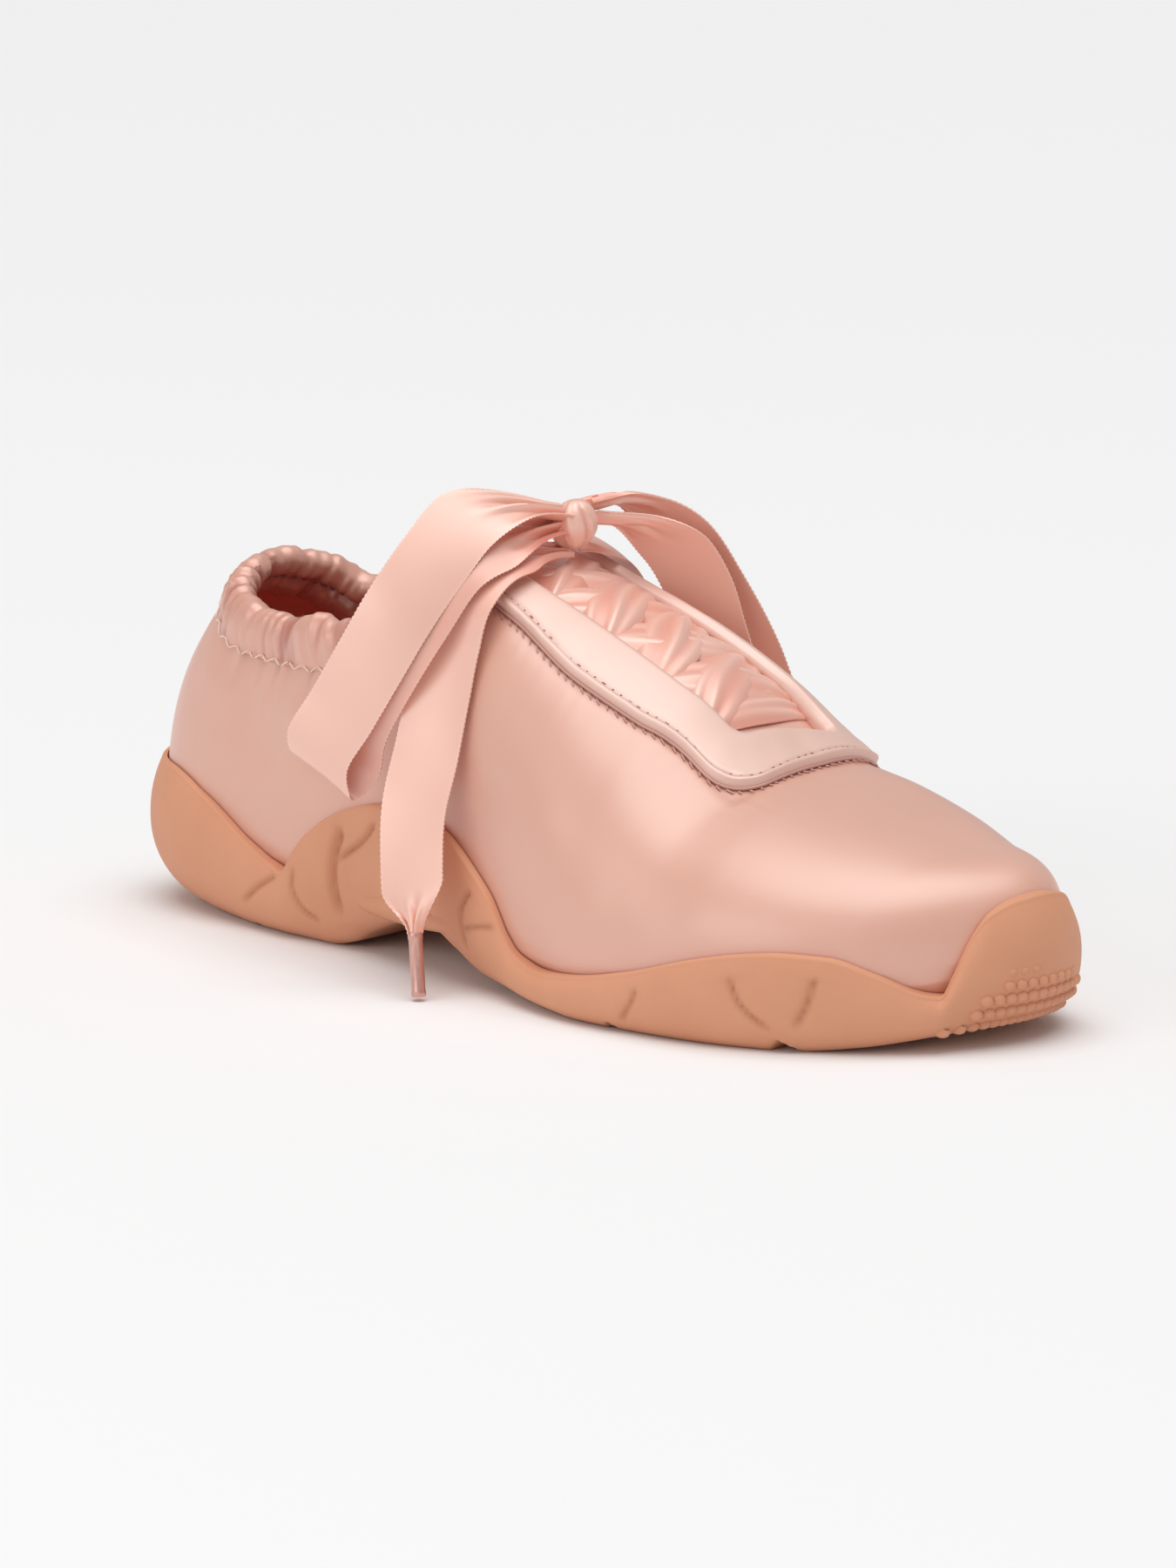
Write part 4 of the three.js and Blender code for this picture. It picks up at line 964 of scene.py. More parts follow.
def rib(line):
    """A shallow band along the underside, let into the sole and flush with its floor."""
    tangent = unit(np.gradient(line, axis=0))
    side = unit(np.cross(tangent, (0, 0, 1)))
    rings = []
    for p, s in zip(line, side):
        rings.append([p - 1.5 * s + (0, 0, 0.6), p - 1.2 * s, p + 1.2 * s, p + 1.5 * s + (0, 0, 0.6)])
    rings = np.array(rings)
    n = len(rings)
    faces = grid_faces(n, 4, False, True).tolist() + [[3, 2, 1, 0], [4 * (n - 1) + k for k in range(4)]]
    return rings.reshape(-1, 3).tolist(), faces


make_sole()
make_nubs()
make_tread()

# Upper

CUFF_HEIGHT = 11
# A distance at which a seam has no effect
FAR = 60

# Soft creases of the upper: side, line in side view, half width, height of the push
CREASES = [
    (-1, [(-64, 39), (-55, 43), (-44, 41), (-33, 36)], 4.0, -0.9),
    (-1, [(-66, 46), (-54, 50), (-42, 48)], 6.0, 0.7),
    (-1, [(-86, 52), (-74, 44), (-66, 36)], 7.0, -0.7),
    (-1, [(-100, 60), (-88, 54), (-78, 52)], 6.0, 0.5),
    (-1, [(-2, 30), (8, 40), (14, 52)], 8.0, -0.6),
    (-1, [(14, 26), (24, 36), (34, 46)], 9.0, 0.6),
    (-1, [(44, 24), (58, 28), (74, 26)], 8.0, -0.4),
    (1, [(-64, 40), (-55, 44), (-44, 42), (-33, 37)], 4.0, -0.8),
    (1, [(-2, 30), (8, 42), (14, 54)], 8.0, -0.6),
    (1, [(16, 26), (26, 36), (36, 42)], 8.0, 0.5),
    (1, [(-86, 54), (-76, 46), (-68, 38)], 7.0, -0.6),
]


def throat_edge(x, column):
    return read(THROAT, x, column)


def throat_front(y):
    """The x of the throat's front edge, which is skewed towards the toe on the medial side."""
    return THROAT_FRONT + THROAT_SKEW * smoothstep(y, 0, 22)


def over_throat(points, margin):
    x, y = points[:, 0], points[:, 1]
    return ((x > -60) & (x < throat_front(y) + margin) & (y > throat_edge(x, 2) - margin)
            & (y < throat_edge(x, 3) + margin))


def upper_relief(points, side, stitch_gap, collar_gap, along):
    """How far the upper's surface stands out at each point: creases, and gathers below the seams. Also the
    painted shade along the eyestay's seam.
    """
    x, z = points[:, 0], points[:, 2]
    uneven = 0.09 * noise(x + 0.4 * z, 31, 20) + 0.06 * noise(z - 0.3 * x, 32, 15)
    push = uneven * (1 - smoothstep(x, 70, 95))
    # Painted shade along the eyestay's seam.
    shade = 0.6 * np.exp(-(stitch_gap / 1.3) ** 2)
    for which, line, half, depth in CREASES:
        gap, share = distance_to(line, x, z)
        taper = smoothstep(share, -0.02, 0.3) * smoothstep(1 - share, -0.02, 0.3)
        push += (side == which) * depth * np.exp(-(gap / half) ** 2) * taper
    pull = np.exp(-np.clip(stitch_gap, 0, 60) / 5.5)
    puckers = 0.09 * pull * (noise(along, 33, 1.9) + noise(along, 34, 1.2))
    push += puckers - 0.3 * np.exp(-(stitch_gap / 1.5) ** 2)
    gather = np.exp(-np.clip(collar_gap, 0, 60) / 6.5)
    push += 0.7 * gather * noise(along + 0.25 * collar_gap, 35, 2.6)
    return push, shade


def upper_gaps(points, side):
    """Each point's distance from the eyestay's edge and below the cuff, and its place along the edge."""
    x, y, z = points.T
    low = read(EYESTAY_LOW, x)
    side_gap = np.where(side < 0, throat_edge(x, 1) - y, np.minimum(y - throat_edge(x, 4), FAR))
    side_gap = np.where((side > 0) & (z < low), (low - z) * 0.8, side_gap)
    stitch_gap = np.hypot(np.maximum(side_gap, 0), np.maximum(x - EYESTAY_FRONT, 0))
    stitch_gap = np.where(x < -34, FAR, stitch_gap)
    collar_gap = np.where(x < -6, np.maximum(read(COLLAR_LINE, x) - CUFF_HEIGHT - z, 0), FAR)
    along = np.where(x > EYESTAY_FRONT, 200 + y, x)
    return stitch_gap, collar_gap, along


def left_open(points, faces, margin, collar_drop, lowest):
    """The faces without those over the collar's line or in the throat."""
    centre = points[faces].mean(1)
    over_collar = centre[:, 2] > read(COLLAR_LINE, centre[:, 0]) - collar_drop
    in_throat = over_throat(centre, margin) & (centre[:, 2] > lowest)
    return faces[~(over_collar | in_throat)]


def make_upper():
    """The upper's skin, and its lining on the wall's inner face."""
    rays = fan(np.arange(HEEL_X, TOE_X + 0.1, 1.0), 70, 80)
    rows = 104
    grid = form_grid(rays, rows)
    normal, turn = outward_normals(grid, rays)
    flat, out = grid.reshape(-1, 3), normal.reshape(-1, 3)
    side = np.repeat(np.where(rays["lateral"], -1, 1), rows)
    push, shade = upper_relief(flat, side, *upper_gaps(flat, side))
    x, z = flat[:, 0], flat[:, 2]
    top_fade = 1 - smoothstep(x, 96, 104) * 0.3
    low_fade = smoothstep(z - read(FORM, x, 2), 2, 9)
    skin = flat + out * (push * low_fade * top_fade)[:, None]
    faces = turned(grid_faces(len(grid), rows, close_n=True), turn)
    kept = left_open(skin, faces, 1.2, 2.0, 34)
    add_mesh("upper_skin", skin, kept, UPPER_SATIN, ["upper"], {"shade": shade}, sharp=60)
    inside = flat - out * WALL
    kept = left_open(inside, faces, 0.0, 4.0, 30)[:, ::-1]
    add_mesh("upper_lining", inside, kept, LINING, values={"shade": shade}, sharp=60)


make_upper()

# Collar cuff


def collar_rays():
    """Rays along the collar's edge, from the lateral eyestay round the heel to the medial one."""
    half = math.pi / 2
    side = np.arange(-10.0, HEEL_X, -0.7)
    heel = [(HEEL_X, a) for a in np.linspace(-half, -3 * half, 80)]
    return make_rays([(x, -half) for x in side] + heel[:-1] + [(HEEL_X, half)]
                     + [(x, half) for x in side[::-1]])


def collar_edge():
    """The collar's edge: each place, outward normal, and the way down the wall, with its arc."""
    rays = collar_rays()
    grid = form_grid(rays, 260)
    normal = grid_normals(grid)
    if normal[40, 100] @ np.append(rays["direction"][40], 0.0) < 0:
        normal = -normal
    edge = []
    for i in range(len(grid)):
        line = grid[i]
        gap = line[:, 2] - read(COLLAR_LINE, line[:, 0])
        crossed = np.nonzero((gap[:-1] < 0) & (gap[1:] >= 0))[0]
        if len(crossed) == 0:
            continue
        j = crossed[0]
        t = gap[j] / (gap[j] - gap[j + 1])
        at = line[j] + t * (line[j + 1] - line[j])
        reaches = -31 if at[1] > 10 else -45
        if at[0] > reaches and throat_edge(at[0], 1) + 0.4 < at[1] < throat_edge(at[0], 4) - 0.4:
            continue
        along = arc(line)
        here = along[j] + t * (along[j + 1] - along[j])
        edge.append((line, normal[i], along, here, at))
    return edge


# The cuff's section: how far below the edge and how far out of the form, from its lower outer edge
# over the rolled top and down the inner ring
CUFF_SECTION = [
    (11.4, 0.15), (11.0, 0.7), (9.5, 1.1), (7.5, 1.9), (5.0, 2.5), (2.5, 2.7), (0.6, 2.2), (-0.6, 1.0),
    (-0.9, -0.5), (-0.3, -1.9), (1.2, -2.9), (3.2, -3.3), (5.0, -2.9), (5.9, -2.2), (6.8, -2.7), (9.0, -3.3),
    (11.5, -2.9), (13.5, -2.1),
]
# How strong the folds are along that section: share of it, strength
CUFF_FOLD_STRENGTH = [
    (0, 0.06, 0.3, 0.5, 0.66, 0.74, 0.8, 1.0), (0.12, 0.3, 0.8, 1.0, 1.15, 0.5, 1.25, 0.5),
]


def along_line(line, normal, along, at):
    """The points and outward directions at arc lengths of a ray's line."""
    base = np.stack([np.interp(at, along, line[:, k]) for k in range(3)], -1)
    return base, unit(np.stack([np.interp(at, along, normal[:, k]) for k in range(3)], -1))


def cuff_folds(s, drop):
    """The gathers' height at a place along the collar, for each drop below its edge."""
    ridged = 1 - 2 * np.abs(noise(s + 0.22 * drop, 41, 3.1))
    return 0.75 * ridged + 0.5 * noise(s - 0.15 * drop, 42, 2.1) + 0.35 * noise(s + 0.3 * drop, 44, 1.2)


def make_cuff():
    """The gathered cuff: its section swept round the collar, with folds and a scalloped rim."""
    edge = collar_edge()
    s = arc(np.array([e[4] for e in edge]))
    section = spline([(a, b, 0.0) for a, b in CUFF_SECTION], 58)[:, :2]
    n, m = len(edge), len(section)
    share = np.arange(m) / (m - 1)
    strength = np.interp(share, *CUFF_FOLD_STRENGTH)
    inside = smoothstep(share, 0.5, 0.8)
    grid = np.zeros((n, m, 3))
    shade = np.zeros((n, m))
    ends = smoothstep(s, 0, 5) * smoothstep(s[-1] - s, 0, 5)
    for i, (line, normal, along, here, _) in enumerate(edge):
        drop = section[:, 0]
        fold = cuff_folds(s[i], drop)
        scallop = 0.9 * noise(s[i], 43, 4.2) + 0.5 * noise(s[i], 45, 2.2)
        drop = drop - scallop * np.exp(-(drop / 4.5) ** 2)
        out = section[:, 1] + fold * strength * np.sign(section[:, 1] + 0.01) * ends[i]
        base, turn = along_line(line, normal, along, np.clip(here - drop, 0, along[-1]))
        grid[i] = base + turn * out[:, None]
        # Painted shade in the fold valleys, and a darker inner ring.
        shade[i] = np.clip(np.clip(-fold * 1.1, 0, 1) * 0.75 + 0.45 * inside, 0, 1)
    outward = grid_normals(grid)[n // 2, 8] @ edge[n // 2][1][100]
    add_mesh("cuff_gathered", grid.reshape(-1, 3), turned(grid_faces(n, m), outward), CUFF_SATIN,
             ["collar_cuff"], {"shade": shade.ravel()}, sharp=70)
    return edge, s


def thread(start, end, radius=0.2, lift=0.0, sides=6):
    """A short stitch of thread: a thin capsule that arches a little."""
    start, end = np.array(start, float), np.array(end, float)
    axis = unit(end - start)
    side = unit(np.cross(axis, (0.3, 0.2, 0.93)))
    other = np.cross(axis, side)
    rings = []
    for t, size in ((0.0, 0.35), (0.12, 0.9), (0.5, 1.0), (0.88, 0.9), (1.0, 0.35)):
        centre = start + (end - start) * t + lift * 4 * t * (1 - t)
        for a in np.linspace(0, 2 * math.pi, sides, endpoint=False):
            rings.append(centre + radius * size * (math.cos(a) * side + math.sin(a) * other))
    n = 5
    faces = grid_faces(n, sides, False, True).tolist()
    faces += [list(range(sides))[::-1], [(n - 1) * sides + k for k in range(sides)]]
    return rings, faces


def at_drop(entry, drop, out):
    line, normal, along, here, _ = entry
    base, turn = along_line(line, normal, along, here - drop)
    return base + turn * out, turn


def along_edge(edge, s, at):
    """The edge's entry nearest to an arc length."""
    return edge[int(np.clip(np.searchsorted(s, at), 0, len(edge) - 1))]


def make_cuff_stitches(edge, s):
    """A pale zigzag at the cuff's lower edge and dark stitches on the elastic inside."""
    pale, dark = [], []
    last = s[-1] - 2
    for step, at in enumerate(np.arange(1.0, last, 2.3)):
        rise = 0.8 if step % 2 == 0 else -0.6
        fall = -0.6 if step % 2 == 0 else 0.8
        a, turn = at_drop(along_edge(edge, s, at), CUFF_HEIGHT + rise, 0.95)
        b, _ = at_drop(along_edge(edge, s, at + 2.1), CUFF_HEIGHT + fall, 0.95)
        pale.append(thread(a, b, 0.2, turn * 0.15))
    for at in np.arange(1.0, last, 2.6):
        a, turn = at_drop(along_edge(edge, s, at), 6.0, -2.75)
        b, _ = at_drop(along_edge(edge, s, at + 1.5), 6.0, -2.75)
        dark.append(thread(a, b, 0.24, -turn * 0.2))
    add_loose("cuff_zigzag", pale, THREAD)
    add_loose("cuff_elastic_stitches", dark, STITCH_DARK)


cuff_edge, cuff_arc = make_cuff()
make_cuff_stitches(cuff_edge, cuff_arc)

# Eyestay

EYESTAY_CORNER, THROAT_CORNER, FAR_CORNER = 10, 4, 1.5
# Where each edge is split in three, at x along its lateral and its medial side
OUTER_SPLIT, INNER_SPLIT = (57.6, 58.6), (48.6, 52.7)
STITCH_LINE = 2.4

def rear_end(column):
    """How far back an edge of the eyestay runs before the collar cuts it."""
    x = np.linspace(-34, 0, 341)
    height = height_at(x, throat_edge(x, column))
    over = height > read(COLLAR_LINE, x) - 0.8
    return float(x[over].max()) if over.any() else -34.0


def medial_outer(x):
    """The y of the eyestay's outer edge on the steep medial side."""
    y = np.linspace(0, 1, 200)[None, :] * 12 + throat_edge(x, 4)[:, None] - 11
    z = height_at(x[:, None] + 0 * y, y)
    low_enough = z < read(EYESTAY_LOW, x)[:, None]
    first = np.where(low_enough.any(1), low_enough.argmax(1), 199)
    return np.minimum(y[np.arange(len(x)), first], throat_edge(x, 4))


def eyestay_edge(columns, front, corner, skew, rear, medial):
    """One edge in plan, from the lateral rear round the front to the medial rear. corner is the
    lateral front corner's radius, and skew how far the front's medial end is ahead of it."""
    x = np.linspace(rear[0], front - corner, 60)
    line = list(zip(x, throat_edge(x, columns[0])))
    y0 = line[-1][1]
    for a in np.linspace(0, math.pi / 2, 16)[1:]:
        line.append((front - corner + corner * math.sin(a), y0 + corner * (1 - math.cos(a))))
    far_x = front + skew - FAR_CORNER
    y1 = float(medial(np.array([far_x]))[0])
    t = np.linspace(0, 1, 24)[1:]
    line += list(zip(front + skew * t ** 1.3, line[-1][1] + (y1 - FAR_CORNER - line[-1][1]) * t))
    x = np.linspace(far_x, rear[1], 80)
    return even(np.array(line + list(zip(x, medial(x)))), 330)


def eyestay_edges():
    rears = [max(rear_end(column), -30) for column in (1, 2, 3, 4)]
    outer = eyestay_edge((1, 4), EYESTAY_FRONT, EYESTAY_CORNER, EYESTAY_SKEW, (rear_end(1), rears[3]),
                         medial_outer)
    inner = eyestay_edge((2, 3), THROAT_FRONT, THROAT_CORNER, THROAT_SKEW, (rear_end(2), rears[2]),
                         lambda x: throat_edge(x, 3))
    return outer, inner


def match(outer, inner):
    """Pairs the two edges by corner, so that the lines between them stay across the band."""
    def split(edge, front, back):
        first = int(np.argmax(edge[:, 0] > front))
        last = len(edge) - int(np.argmax(edge[::-1, 0] > back))
        return edge[:first + 1], edge[first:last], edge[last - 1:]
    parts = []
    counts = (150, 60, 150)
    for a, b, count in zip(split(outer, *OUTER_SPLIT), split(inner, *INNER_SPLIT), counts):
        parts.append((even(a, count), even(b, count)))
    return np.vstack([p[0] for p in parts]), np.vstack([p[1] for p in parts])


def rounded(gap, radius):
    """From 0 at an edge up to 1 at the radius from it, as a quarter circle."""
    return np.sqrt(np.clip(1 - (1 - np.clip(gap / radius, 0, 1)) ** 2, 0, 1))


def eyestay_band(outer, inner, m):
    """Points on the form across the band, m to a line, and the normals there."""
    across = np.linspace(0, 1, 60)
    base = np.zeros((len(outer), m, 3))
    turn = np.zeros((len(outer), m, 3))
    for i in range(len(outer)):
        plan = inner[i] + (outer[i] - inner[i]) * across[:, None]
        points, normal = on_top(plan[:, 0], plan[:, 1])
        along = arc(points)
        base[i], turn[i] = along_line(points, normal, along, np.linspace(0, along[-1], m))
    return base, turn


def eyestay_height(from_outer, from_inner, s, v):
    """How thick the band is: rounded edges, a raised fold outside the stitches and their groove."""
    height = 1.75 * rounded(from_outer, 0.9)
    height = height * (0.35 + 0.65 * rounded(from_inner, 1.6))
    fold = 0.35 * np.exp(-((from_outer - 1.1) / 0.9) ** 2)
    height += fold - 0.22 * np.exp(-((from_outer - STITCH_LINE) / 0.5) ** 2)
    height += 0.12 * noise(s, 51, 7)[:, None] * np.sin(v * 3.0)[None, :]
    height += 0.10 * noise(s, 52, 2.6)[:, None] * np.exp(-((from_outer - 2.2) / 1.3) ** 2)
    return height


# The inner edge's roll down into the throat: drop, how far it stands into the throat
EYESTAY_ROLL = [(3.3, -0.6), (2.8, 0.1), (1.8, 0.55), (0.9, 0.6), (0.3, 0.35)]


def make_eyestay():
    outer, inner = match(*eyestay_edges())
    m = 34
    base, turn = eyestay_band(outer, inner, m)
    v = np.linspace(0, 1, m)
    s = arc(outer)
    reach = np.linalg.norm(base[:, -1] - base[:, 0], axis=1)
    from_outer, from_inner = (1 - v)[None, :] * reach[:, None], v[None, :] * reach[:, None]
    top = base + turn * (0.25 + eyestay_height(from_outer, from_inner, s, v))[..., None]
    inward = unit(base[:, 0] - base[:, 3])
    roll = [base[:, 0] + inward * push + turn[:, 0] * (0.9 - drop) for drop, push in EYESTAY_ROLL]
    skirt = base[:, -1] - turn[:, -1] * 0.2
    grid = np.concatenate([np.array(roll).transpose(1, 0, 2), top, skirt[:, None]], 1)
    shade = np.zeros(grid.shape[:2])
    # Painted shade along the stitch groove.
    shade[:, len(roll):-1] = 0.5 * np.exp(-((from_outer - STITCH_LINE) / 0.45) ** 2)
    faces = turned(grid_faces(len(grid), grid.shape[1]), grid_normals(grid)[len(grid) // 4, 20, 2])
    add_mesh("eyestay_facing", grid.reshape(-1, 3), faces, EYESTAY_SATIN, ["eyestay"],
             {"shade": shade.ravel()}, sharp=80)
    return base, turn, s, reach


def band_place(band, i, from_outer, out):
    """A point of the band's line i, so far in from its outer edge and so far out of the form."""
    base, turn, _, reach = band
    m = base.shape[1]
    t = 1 - from_outer / reach[i]
    if t <= 1:
        at = np.array([np.interp(t, np.linspace(0, 1, m), base[i, :, k]) for k in range(3)])
    else:
        at = base[i, -1] + unit(base[i, -1] - base[i, -3]) * -from_outer
    return at + turn[i, int(np.clip(round(t * (m - 1)), 0, m - 1))] * out


def make_edge_shadow_cord(band):
    """A thin cord under the band's folded edge. Its dark colour is painted shadow under the fold."""
    turn = band[1]
    line = np.array([band_place(band, i, -0.25, 0.25) for i in range(len(turn))])
    up = turn[:, -1]
    side = unit(np.cross(unit(np.gradient(line, axis=0)), up))
    turns = np.linspace(0, 2 * math.pi, 10, endpoint=False)
    rings = [line + 0.38 * (math.cos(a) * side + math.sin(a) * up) for a in turns]
    tube = np.array(rings).transpose(1, 0, 2)
    faces = grid_faces(len(tube), len(turns), False, True)[:, ::-1]
    add_mesh("eyestay_edge_shadow_cord", tube.reshape(-1, 3), faces, EDGE_SHADOW_AND_THREAD, sharp=80)


def make_eyestay_stitches(band):
    """Dark marks of painted shade in each stitch hole along the folded edge, and the thread's short steps
    beside it.
    """
    s = band[2]
    hole_shadows, ticks = [], []
    for at in np.arange(1.5, s[-1] - 2, 2.3):
        i, j, k = [min(int(np.searchsorted(s, at + ahead)), len(s) - 1) for ahead in (0, 0.75, 1.0)]
        hole = [band_place(band, place, STITCH_LINE, 1.72) for place in (i, j)]
        hole_shadows.append(thread(*hole, 0.27))
        ticks.append(thread(band_place(band, i, -0.9, 0.15), band_place(band, k, -1.7, 0.1), 0.2))
    add_loose("eyestay_stitch_hole_shadows", hole_shadows, STITCH_DARK)
    add_loose("eyestay_stitch_steps", ticks, EDGE_SHADOW_AND_THREAD)


eyestay = make_eyestay()
make_edge_shadow_cord(eyestay)
make_eyestay_stitches(eyestay)

# Tongue and insole

TONGUE_REAR, TONGUE_FRONT = -29, 58

def make_tongue():
    x = np.linspace(TONGUE_REAR, TONGUE_FRONT, 120)
    t = np.linspace(0, 1, 60)
    low, high = throat_edge(x, 2) - 7, throat_edge(x, 3) + 5
    y = low[:, None] + (high - low)[:, None] * t
    xx = x[:, None] + 0 * y
    wave = 0.25 * noise(xx + 0.6 * y, 61, 9)
    top, normal = on_top(xx, y, -2.15 + wave)
    rear = (1 - np.clip((xx - TONGUE_REAR) / 1.1, 0, 1)) ** 2
    top = top - normal * (1.1 * rear)[..., None]
    bottom = top - normal * (2.2 - 2.0 * rear)[..., None]
    points, faces = thick(top, bottom, *xx.shape)
    faces = turned(faces, grid_normals(top)[60, 30, 2])
    add_mesh("tongue_satin_sheet", points, faces, TONGUE_SATIN, ["tongue"], sharp=60)


def make_insole():
    rays = fan(np.arange(HEEL_X, TOE_X + 0.1, 2.5), 30, 36)
    f = form_facts(rays)
    n = len(rays["x"])
    share = np.concatenate([np.linspace(0, 0.96, 16), [0.985, 1.0]])
    reach = (f["reach"] - 2.6)[:, None] * share[None, :]
    along_x = rays["x"][:, None] + rays["direction"][:, :1] * reach
    edge = np.concatenate([np.zeros(16), [-0.5, -1.5]])
    z = read(FORM, along_x, 2) + np.maximum(0, along_x - TOE_X) * 0.16 + 5.2 + edge + 1.2 * share ** 4
    top = on_rays(rays, reach, z)
    bottom = top.copy()
    bottom[..., 2] = read(FORM, along_x, 2) + 2.4
    points, faces = thick(top, bottom, n, len(share), close_n=True)
    faces = turned(faces, grid_normals(top, close_n=True)[10, 5, 2])
    add_mesh("insole_board", points, faces, LINING, ["insole"], sharp=50)


make_tongue()
make_insole()

# Lacing

# Each crossing of the ribbon: x at the lateral edge, x at the medial edge, width at each end and in
# the middle, height of its middle, depth of its folds
CROSSINGS = [
    (-13, 3, 7.0, 13.5, 2.3, 1.0),
    (2, -13, 7.0, 13.0, 2.7, 1.1),
    (1, 17, 7.0, 13.5, 2.5, 1.0),
    (17, 1, 7.0, 13.5, 3.3, 1.1),
    (16, 32, 7.0, 13.5, 2.2, 1.0),
    (32, 16, 7.0, 13.5, 2.9, 1.0),
    (31, 45, 6.5, 12.5, 1.7, 0.9),
    (45, 31, 6.5, 12.5, 2.3, 0.9),
    (44.5, 45.5, 6.0, 8.0, 1.2, 0.7),
]
# Folds across each band: place, half width and height, and how far a fold drifts along the band
BAND_FOLDS = [(-0.62, 0.24, 0.9, 0.25), (0.0, 0.22, 1.15, -0.2), (0.62, 0.24, 0.9, 0.25)]
UNDER_EYESTAY = 2.2


def crossing_folds(number, t, v):
    """The height of a band's folds over its grid. The seed gives each band its own."""
    rng = np.random.default_rng(70 + number)
    folds = np.zeros((len(t), len(v)))
    for place, half, height, drift in BAND_FOLDS:
        centre = place + 0.15 * rng.uniform(-1, 1) + drift * (t - 0.5)
        centre = centre + 0.08 * np.sin(6 * t + rng.uniform(0, 6))
        swell = 0.7 + 0.3 * np.sin(5 * t + rng.uniform(0, 6))
        folds += height * swell[:, None] * np.exp(-((v[None] - centre[:, None]) / half) ** 2)
    return folds


def crossing_plan(x_lateral, x_medial, width, t, v):
    """The band's points in plan, from under one inner edge of the eyestay to under the other."""
    x_mid = x_lateral + (x_medial - x_lateral) * t
    low, high = throat_edge(x_mid, 2) - UNDER_EYESTAY, throat_edge(x_mid, 3) + UNDER_EYESTAY
    y_mid = low + (high - low) * t
    direction = unit(np.stack([np.gradient(x_mid), np.gradient(y_mid)], 1))
    across = np.stack([direction[:, 1], -direction[:, 0]], 1)
    return np.stack([x_mid, y_mid], 1)[:, None] + across[:, None] * (width[:, None] / 2 * v)[..., None]


def make_crossing(number, x_lateral, x_medial, end_width, middle_width, rise, fold_depth):
    n, m = 150, 41
    t, v = np.linspace(0, 1, n), np.linspace(-1, 1, m)
    bell = np.sin(np.pi * t) ** 0.7
    plan = crossing_plan(x_lateral, x_medial, end_width + (middle_width - end_width) * bell, t, v)
    folds = crossing_folds(number, t, v)
    crown = rise * bell[:, None] * (1 - 0.55 * v[None] ** 2)
    lift = -1.75 + crown + fold_depth * (folds - 0.45) * (0.5 + 0.5 * bell[:, None])
    top, normal = on_top(plan[..., 0], plan[..., 1], np.maximum(lift, -1.95))
    points, faces = thick(top, top - normal * 0.36, n, m)
    faces = turned(faces, grid_normals(top)[75, 20, 2])
    # The picot edges take the ribbon's lighter edge tint.
    shade = np.tile(np.where(np.abs(v) > 0.94, 0.6, 0.0), 2 * n)
    # Painted shade in the fold valleys, and at the band's ends, where it runs under the eyestay.
    ends = 1 - smoothstep(t, 0.0, 0.22) * (1 - smoothstep(t, 0.78, 1.0))
    deep_painted_shade = np.tile(np.clip(0.75 - folds + 0.5 * ends[:, None], 0, 0.9).reshape(-1), 2)
    replaced = ["lace_crossings"] if number == 0 else []
    add_mesh(f"lace_band_{number + 1}", points, faces, RIBBON, replaced,
             {"shade": shade, "deep_painted_shade": deep_painted_shade}, sharp=75)


for index, row in enumerate(CROSSINGS):
    make_crossing(index, *row)


def make_knot():
    """The bow's knot: the ribbon pulled tight round itself, with folds from top to bottom."""
    n, m = 72, 72
    lat = np.linspace(-math.pi / 2, math.pi / 2, n)
    lon = np.linspace(0, 2 * math.pi, m, endpoint=False)
    la, lo = np.meshgrid(lat, lon, indexing="ij")
    lean = lo + 0.35 * np.sin(la)
    fold = np.abs(np.sin(2.5 * lean + 0.4)) ** 0.6 + 0.35 * np.abs(np.sin(6 * lean + 1.0 + la))
    r = 0.80 + 0.17 * fold * np.cos(la) ** 0.5 + 0.07 * np.cos(2 * la)
    x = -4.8 + 4.8 * np.cos(la) ** 0.8 * np.cos(lo) * r + 0.9 * np.sin(la)
    y = 6.0 + 5.0 * np.cos(la) ** 0.8 * np.sin(lo) * r
    z = 96.4 + 5.7 * np.sign(np.sin(la)) * np.abs(np.sin(la)) ** 0.9
    grid = np.stack([x, y, z], 2)
    faces = turned(grid_faces(n, m, False, True), grid_normals(grid, close_m=True)[36, 0, 0])
    # Painted shade in the valleys between the folds.
    deep_painted_shade = np.clip(0.9 - 0.9 * fold, 0, 0.9)
    add_mesh("ribbon_knot", grid.reshape(-1, 3), faces, RIBBON, ["bow_knot"],
             {"deep_painted_shade": deep_painted_shade.ravel()}, sharp=70)


make_knot()

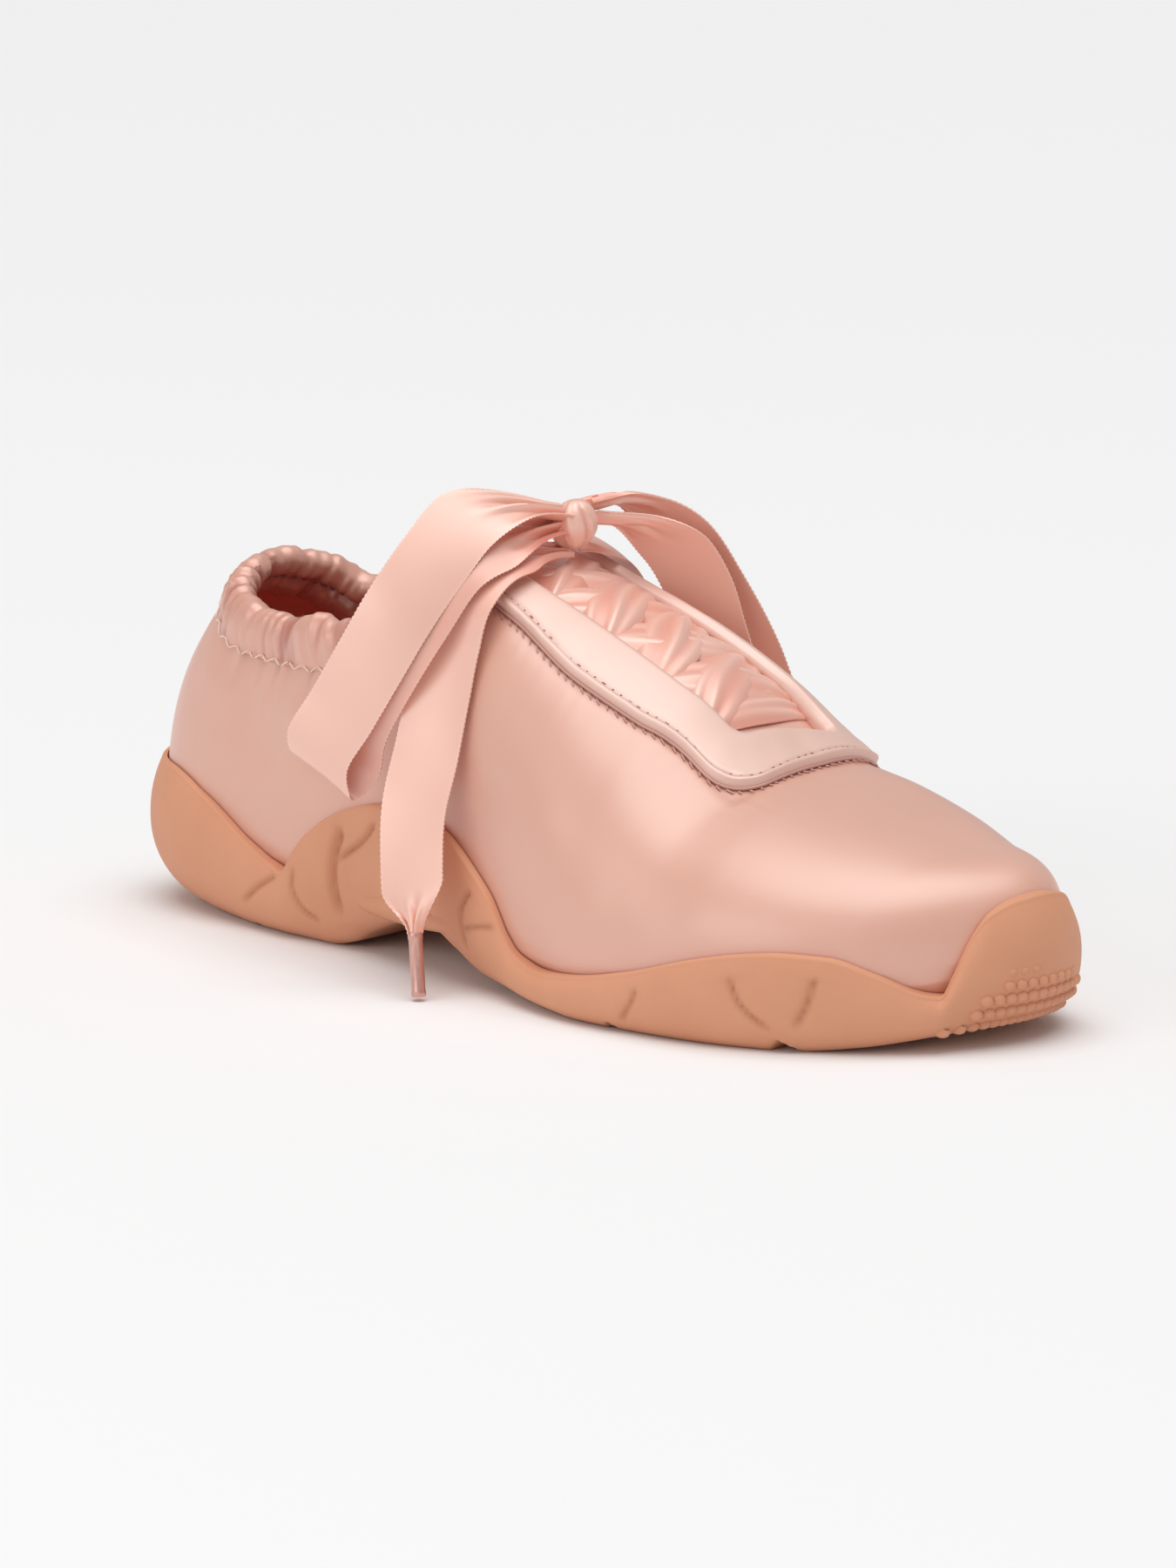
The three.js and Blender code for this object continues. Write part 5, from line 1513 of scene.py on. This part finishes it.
# Floor and light


def plain(name, colour, roughness):
    material, tree, shader = new_material(name)
    grain = node(tree, "ShaderNodeTexNoise", Scale=3.0, Detail=2.0)
    tree.links.new(ramp(tree, grain.outputs["Fac"], [(0.0, colour), (1.0, tuple(c * 0.995 for c in colour))]),
                   shader.inputs["Base Color"])
    shader.inputs["Roughness"].default_value = roughness
    shader.inputs["Specular IOR Level"].default_value = 0.1
    return material


def make_backdrop():
    """A wide, level, pale floor."""
    half = 30.0
    corners = [(-half, -half, 0), (half, -half, 0), (half, half, 0), (-half, half, 0)]
    mesh = bpy.data.meshes.new("backdrop")
    mesh.from_pydata(corners, [], [[0, 1, 2, 3]])
    mesh.materials.append(plain("pale_paper", (0.88, 0.88, 0.88), 0.9))
    made = bpy.data.objects.new("backdrop", mesh)
    bpy.context.scene.collection.objects.link(made)


def sun_light(name, towards_light, power, softness):
    """A far, broad light that is as strong on all of the floor."""
    data = bpy.data.lights.new(name, "SUN")
    data.energy = power
    data.angle = math.radians(softness)
    lamp = bpy.data.objects.new(name, data)
    bpy.context.scene.collection.objects.link(lamp)
    lamp.rotation_euler = (-Vector(towards_light)).to_track_quat("-Z", "Y").to_euler()


def area_light(name, place, target, size, power):
    data = bpy.data.lights.new(name, "AREA")
    data.shape = "RECTANGLE"
    data.size, data.size_y = size
    data.energy = power
    lamp = bpy.data.objects.new(name, data)
    bpy.context.scene.collection.objects.link(lamp)
    lamp.location = place
    lamp.rotation_euler = (Vector(target) - Vector(place)).to_track_quat("-Z", "Y").to_euler()


make_backdrop()
sun_light("key", (0.12, -0.06, 0.98), 1.9, 60)
area_light("fill", (-0.2, -2.0, 0.8), (0, 0, 0.04), (1.8, 1.0), 9)

world = bpy.data.worlds.new("studio")
world.use_nodes = True
background = next(n for n in world.node_tree.nodes if n.type == "BACKGROUND")
background.inputs["Color"].default_value = (1, 1, 1, 1)
background.inputs["Strength"].default_value = 0.40
bpy.context.scene.world = world
bpy.context.scene.view_settings.view_transform = "Standard"
